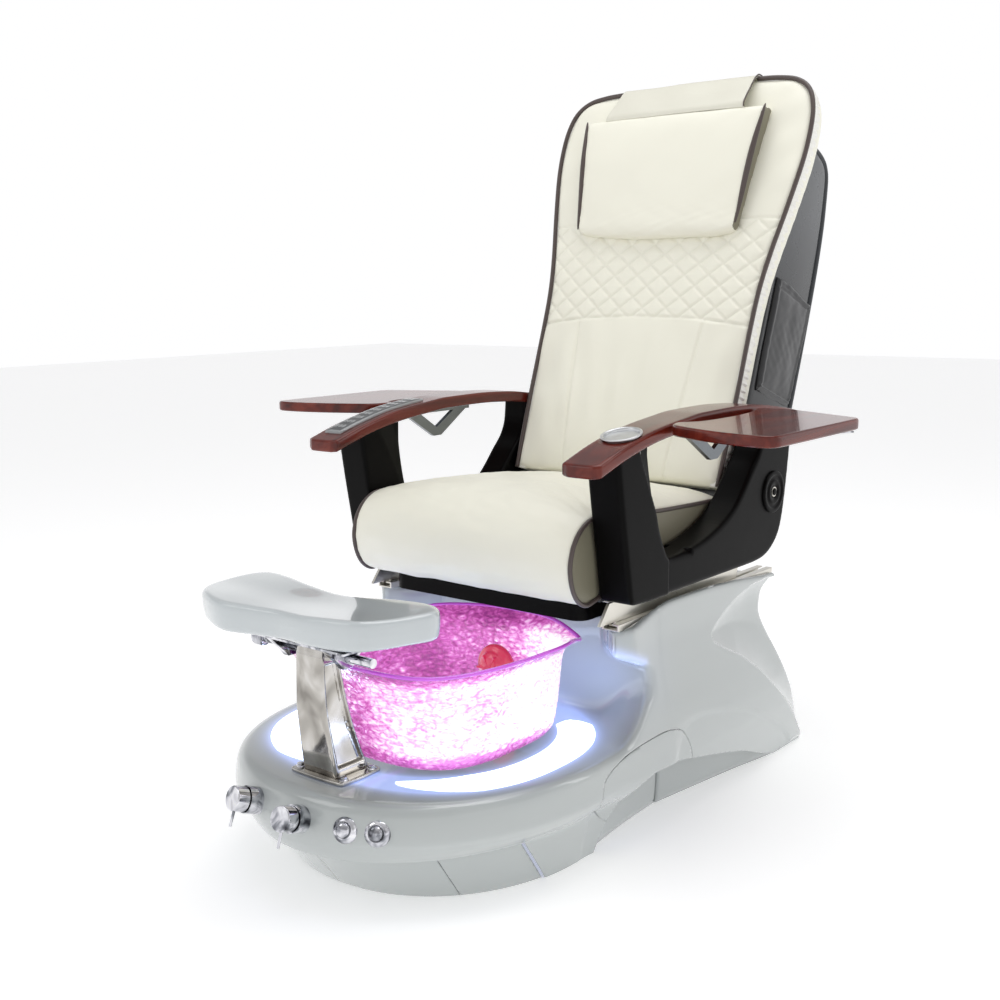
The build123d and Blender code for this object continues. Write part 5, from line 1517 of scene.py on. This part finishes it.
# The pillow's side gussets take the dark copy of the cream leather: painted shade.
pillow.data.materials.append(CREAM_SHADED_SIDE)
centre = face_centres(pillow)
side_at, up_at, front_at = centre.T
shaded_gusset = np.abs(side_at) > PILLOW_HALF(up_at) - 0.004
shaded_gusset &= front_at < 0.0215 + 0.0115 * step(0.215, 0.40, up_at)
pillow.data.polygons.foreach_set("material_index", shaded_gusset.astype(np.int32))
stand_up(pillow)

cords = []
for side in (1, -1):
    t = np.linspace(0, 1, 60)
    s = 0.222 + 0.246 * t
    half = PILLOW_HALF(s) - 0.0005
    front = 0.0190 + 0.0125 * step(0.215, 0.40, s)
    path = np.stack([side * half, s, front], 1)
    radius = 0.0012 + 0.0050 * np.sin(math.pi * np.clip(t, 0, 1)) ** 0.6
    rings = []
    for point, size in zip(path, radius):
        turn = np.linspace(0, 2 * math.pi, 12, endpoint=False)
        rings.append(np.stack([point[0] + size * np.cos(turn), np.full(12, point[1]),
                               point[2] + size * 1.1 * np.sin(turn)], 1))
    cords.append(stand_up(loft("cord", rings)))
cords = join("pillow_piping", cords)
place(cords, "back", PIPING, "cream_leather")

# flap that holds the pillow over the top edge
FLAP_LINE = smooth([(0.4655, 0.0335), (0.476, 0.0335), (0.492, 0.026), (0.515, 0.0135), (0.536, 0.0035),
                    (0.549, -0.004),
                    (0.5575, -0.014), (0.5595, -0.030), (0.5585, -0.052), (0.550, -0.067), (0.530, -0.0735),
                    (0.500, -0.0735), (0.462, -0.0735)], FLAP_ROWS)


def flap_half(t):
    """Half width of the flap, t from 0 at the pillow to 1 at its rear end."""
    return 0.171 - 0.006 * t - 0.004 * math.sin(math.pi * min(1, t * 1.6))


columns = np.linspace(-1, 1, FLAP_ROWS)
rows = []
for i, (s, d) in enumerate(FLAP_LINE):
    t = i / (FLAP_ROWS - 1)
    half = flap_half(t)
    x = half * columns
    ripple = 0.0011 * np.sin(x * 47 + 5 * t) * math.sin(math.pi * min(1, t * 2.2))
    ripple += 0.0007 * np.sin(x * 21 - 13 * t)
    fall = -0.0025 * (x / half) ** 2 * math.exp(-t * 9)
    normal_s, normal_d = (0.7, 0.7) if t > 0.15 else (0.0, 1.0)
    rows.append(np.stack([x, s + ripple * normal_s, d + (ripple + fall) * normal_d], 1))
flap = grid("pillow_flap_sheet", np.array(rows))
thicken(flap, 0.0028)
bevel(flap, 0.0009, 2)
stand_up(flap)
place(flap, "back", FLAP_CREAM, "cream_leather", "pillow_flap")
path = [(flap_half(i / (FLAP_ROWS - 1)) + 0.0008, s + 0.0006, d + 0.0006) for i,
        (s, d) in enumerate(FLAP_LINE[:60])]
edges = tube("flap_piping", to_world(np.array(path)), 0.0015, steps=8)
place(edges, "back", PIPING, "cream_leather")

# shell behind the cushion
SHELL = smooth([(0.062, -0.330), (0.062, -0.1), (0.062, 0.15), (0.062, 0.40), (0.068, 0.428), (0.085, 0.438),
                (0.111, 0.441),
                (0.150, 0.443), (0.185, 0.438), (0.205, 0.427), (0.219, 0.405), (0.232, 0.350),
                (0.2405, 0.300),
                (0.247, 0.225), (0.250, 0.151), (0.2515, 0.07), (0.2515, -0.003), (0.250, -0.120),
                (0.243, -0.190),
                (0.232, -0.245), (0.219, -0.290), (0.205, -0.322), (0.190, -0.334), (0.15, -0.336),
                (0.10, -0.336),
                (0.072, -0.335)], 120, closed=True)


def shell_field(x, s, d):
    wrap = 0.004 * np.sin(math.pi * np.clip((-d - 0.06) / 0.19, 0, 1))
    f = smax(polygon_distance(-d, s, SHELL), np.abs(x) - 0.2575 - wrap, 0.016)
    panel = np.maximum(np.abs(x) - 0.205, np.abs(s - 0.06) - 0.30)
    groove = np.abs(panel) - 0.003
    return smax(f, -np.maximum(groove, 0.225 + d), 0.002)


shell = surface("back_shell_moulding", shell_field, (-0.275, -0.345, -0.262), (0.275, 0.455, -0.052), 0.005)
stand_up(shell)
place(shell, "back", SHELL_BLACK, "black_leather", "back_shell")
trims = []
for side in (1, -1):
    run = smooth([(0.078, 0.4365), (0.111, 0.4415), (0.150, 0.4435), (0.185, 0.4385), (0.205, 0.4275),
                  (0.2195, 0.405),
                  (0.2325, 0.350), (0.241, 0.300), (0.2475, 0.225), (0.2505, 0.151), (0.252, 0.07),
                  (0.252, -0.003),
                  (0.2505, -0.120), (0.2435, -0.190), (0.2325, -0.245), (0.2195, -0.290), (0.206, -0.321)],
                 150)
    path = np.stack([np.full(150, side * 0.2545), run[:, 1], -run[:, 0]], 1)
    trims.append(tube("trim", to_world(path), 0.0068, steps=12))
trims = join("back_shell_trim", trims)
place(trims, "back", DARK_TRIM, "black_leather")

# pockets on the shell's sides
POCKET_EDGE = smooth([(0.080, 0.134), (0.082, 0.141), (0.12, 0.1445), (0.17, 0.141), (0.215, 0.136),
                      (0.236, 0.135),
                      (0.241, 0.130), (0.2405, 0.08), (0.236, 0.02), (0.231, -0.04), (0.227, -0.085),
                      (0.222, -0.095),
                      (0.18, -0.098), (0.13, -0.099), (0.088, -0.098), (0.080, -0.093), (0.078, -0.02),
                      (0.079, 0.06)],
                     110, closed=True)


def pocket_field(x, s, d):
    inside = -polygon_distance(-d, s, POCKET_EDGE)
    puff = 0.0078 * (1 - np.exp(-np.maximum(0, inside) / 0.020))
    puff = puff + 0.0042 * bell(inside, 0.007, 0.005) * (s > -0.09)
    return smax(smax(-inside, x - 0.2625 - puff, 0.004), 0.2585 - x, 0.002)


pocket = surface("pocket", pocket_field, (0.252, -0.11, -0.25), (0.281, 0.155, -0.068), 0.003)
co = coords(pocket)
u, v = -co[:, 2], co[:, 1]
wrinkle = 0.0003 * np.sin((u * 0.9 + v * 0.35) / 0.0105 + 2.2 * np.sin(v * 24)) * bell(v, 0.06, 0.09)
wrinkle += 0.0009 * soft_noise(np.stack([u * 1.5, v * 0.8, u * 0], 1), 0.07, 12)
wrinkle += 0.0003 * soft_noise(np.stack([u, v, u * 0], 1), 0.022, 13)
hem = -0.0022 * bell(v, 0.122, 0.002) - 0.0022 * bell(v, -0.085, 0.002)
co[:, 0] += (wrinkle * 0.8 + hem) * step(0.2645, 0.268, co[:, 0])
set_coords(pocket, co)
twin = mirrored(pocket, "pocket_twin")
pockets = join("side_pocket_pads", [stand_up(pocket), stand_up(twin)])
place(pockets, "back", POCKET, "black_leather", "side_pockets")


# ---------------------------------------------------------------- floor, light and camera

def lamp(name, at, aim, size, power):
    data = bpy.data.lights.new(name, "AREA")
    data.shape = "RECTANGLE"
    data.size, data.size_y = size
    data.energy = power
    ob = bpy.data.objects.new(name, data)
    bpy.context.scene.collection.objects.link(ob)
    ob.location = at
    ob.rotation_euler = (Vector(aim) - Vector(at)).to_track_quat("-Z", "Y").to_euler()


floor = new_object("studio_floor", [(-14, -14, 0), (14, -14, 0), (14, 14, 0), (-14, 14, 0)], [(0, 1, 2, 3)],
                   True)
FLOOR = material("studio_floor_white", (0.93, 0.93, 0.93), 0.7)
FLOOR.node_tree.nodes["Principled BSDF"].inputs["Emission Color"].default_value = (1, 1, 1, 1)
FLOOR.node_tree.nodes["Principled BSDF"].inputs["Emission Strength"].default_value = 0.36
floor.data.materials.append(FLOOR)


def studio_world():
    """White to a little above the horizon, then a grey ceiling with darker bays between soft boxes."""
    world = bpy.data.worlds.new("studio_world")
    world.use_nodes = True
    nt = world.node_tree
    where = nt.nodes.new("ShaderNodeTexCoord")
    split = nt.nodes.new("ShaderNodeSeparateXYZ")
    nt.links.new(where.outputs["Generated"], split.inputs["Vector"])
    levels = [(0.0, 1.0), (0.22, 1.0), (0.40, 0.42), (0.75, 0.50), (1.0, 0.75)]
    ramp_node(nt, split.outputs["Z"], [(at, (level, level, level * 1.01)) for at, level in levels],
              nt.nodes["Background"].inputs["Color"])
    nt.nodes["Background"].inputs["Strength"].default_value = 1.0
    bpy.context.scene.world = world


studio_world()
lamp("key", (-1.9, -2.9, 2.9), (0, 0, 0.6), (1.6, 1.6), 12)
lamp("fill", (3.2, -1.2, 1.6), (0, 0, 0.6), (1.8, 2.2), 3)
lamp("top", (0.2, 0.3, 3.4), (0, 0.1, 0.6), (2.2, 2.2), 32)
lamp("strip", (3.0, 2.2, 2.1), (0.1, 0.4, 0.8), (0.5, 2.4), 8)

YAW, PITCH, ROLL = math.radians(39.35), math.radians(11.21), math.radians(-0.75)
ahead = Vector((-math.sin(YAW) * math.cos(PITCH), math.cos(YAW) * math.cos(PITCH), -math.sin(PITCH)))
right = Vector((math.cos(YAW), math.sin(YAW), 0))
above = right.cross(ahead)
across = right * math.cos(ROLL) + above * math.sin(ROLL)
over = above * math.cos(ROLL) - right * math.sin(ROLL)
camera_data = bpy.data.cameras.new("camera")
camera_data.lens = 45.62
camera_data.sensor_width = 36
camera_data.shift_y = 0.0343
camera = bpy.data.objects.new("camera", camera_data)
bpy.context.scene.collection.objects.link(camera)
camera.matrix_world = Matrix((
    (across.x, over.x, -ahead.x, 1.4998), (across.y, over.y, -ahead.y, -1.9844),
    (across.z, over.z, -ahead.z, 0.9953), (0, 0, 0, 1)))
bpy.context.scene.camera = camera
bpy.context.scene.view_settings.view_transform = "Standard"

bpy.context.view_layer.update()
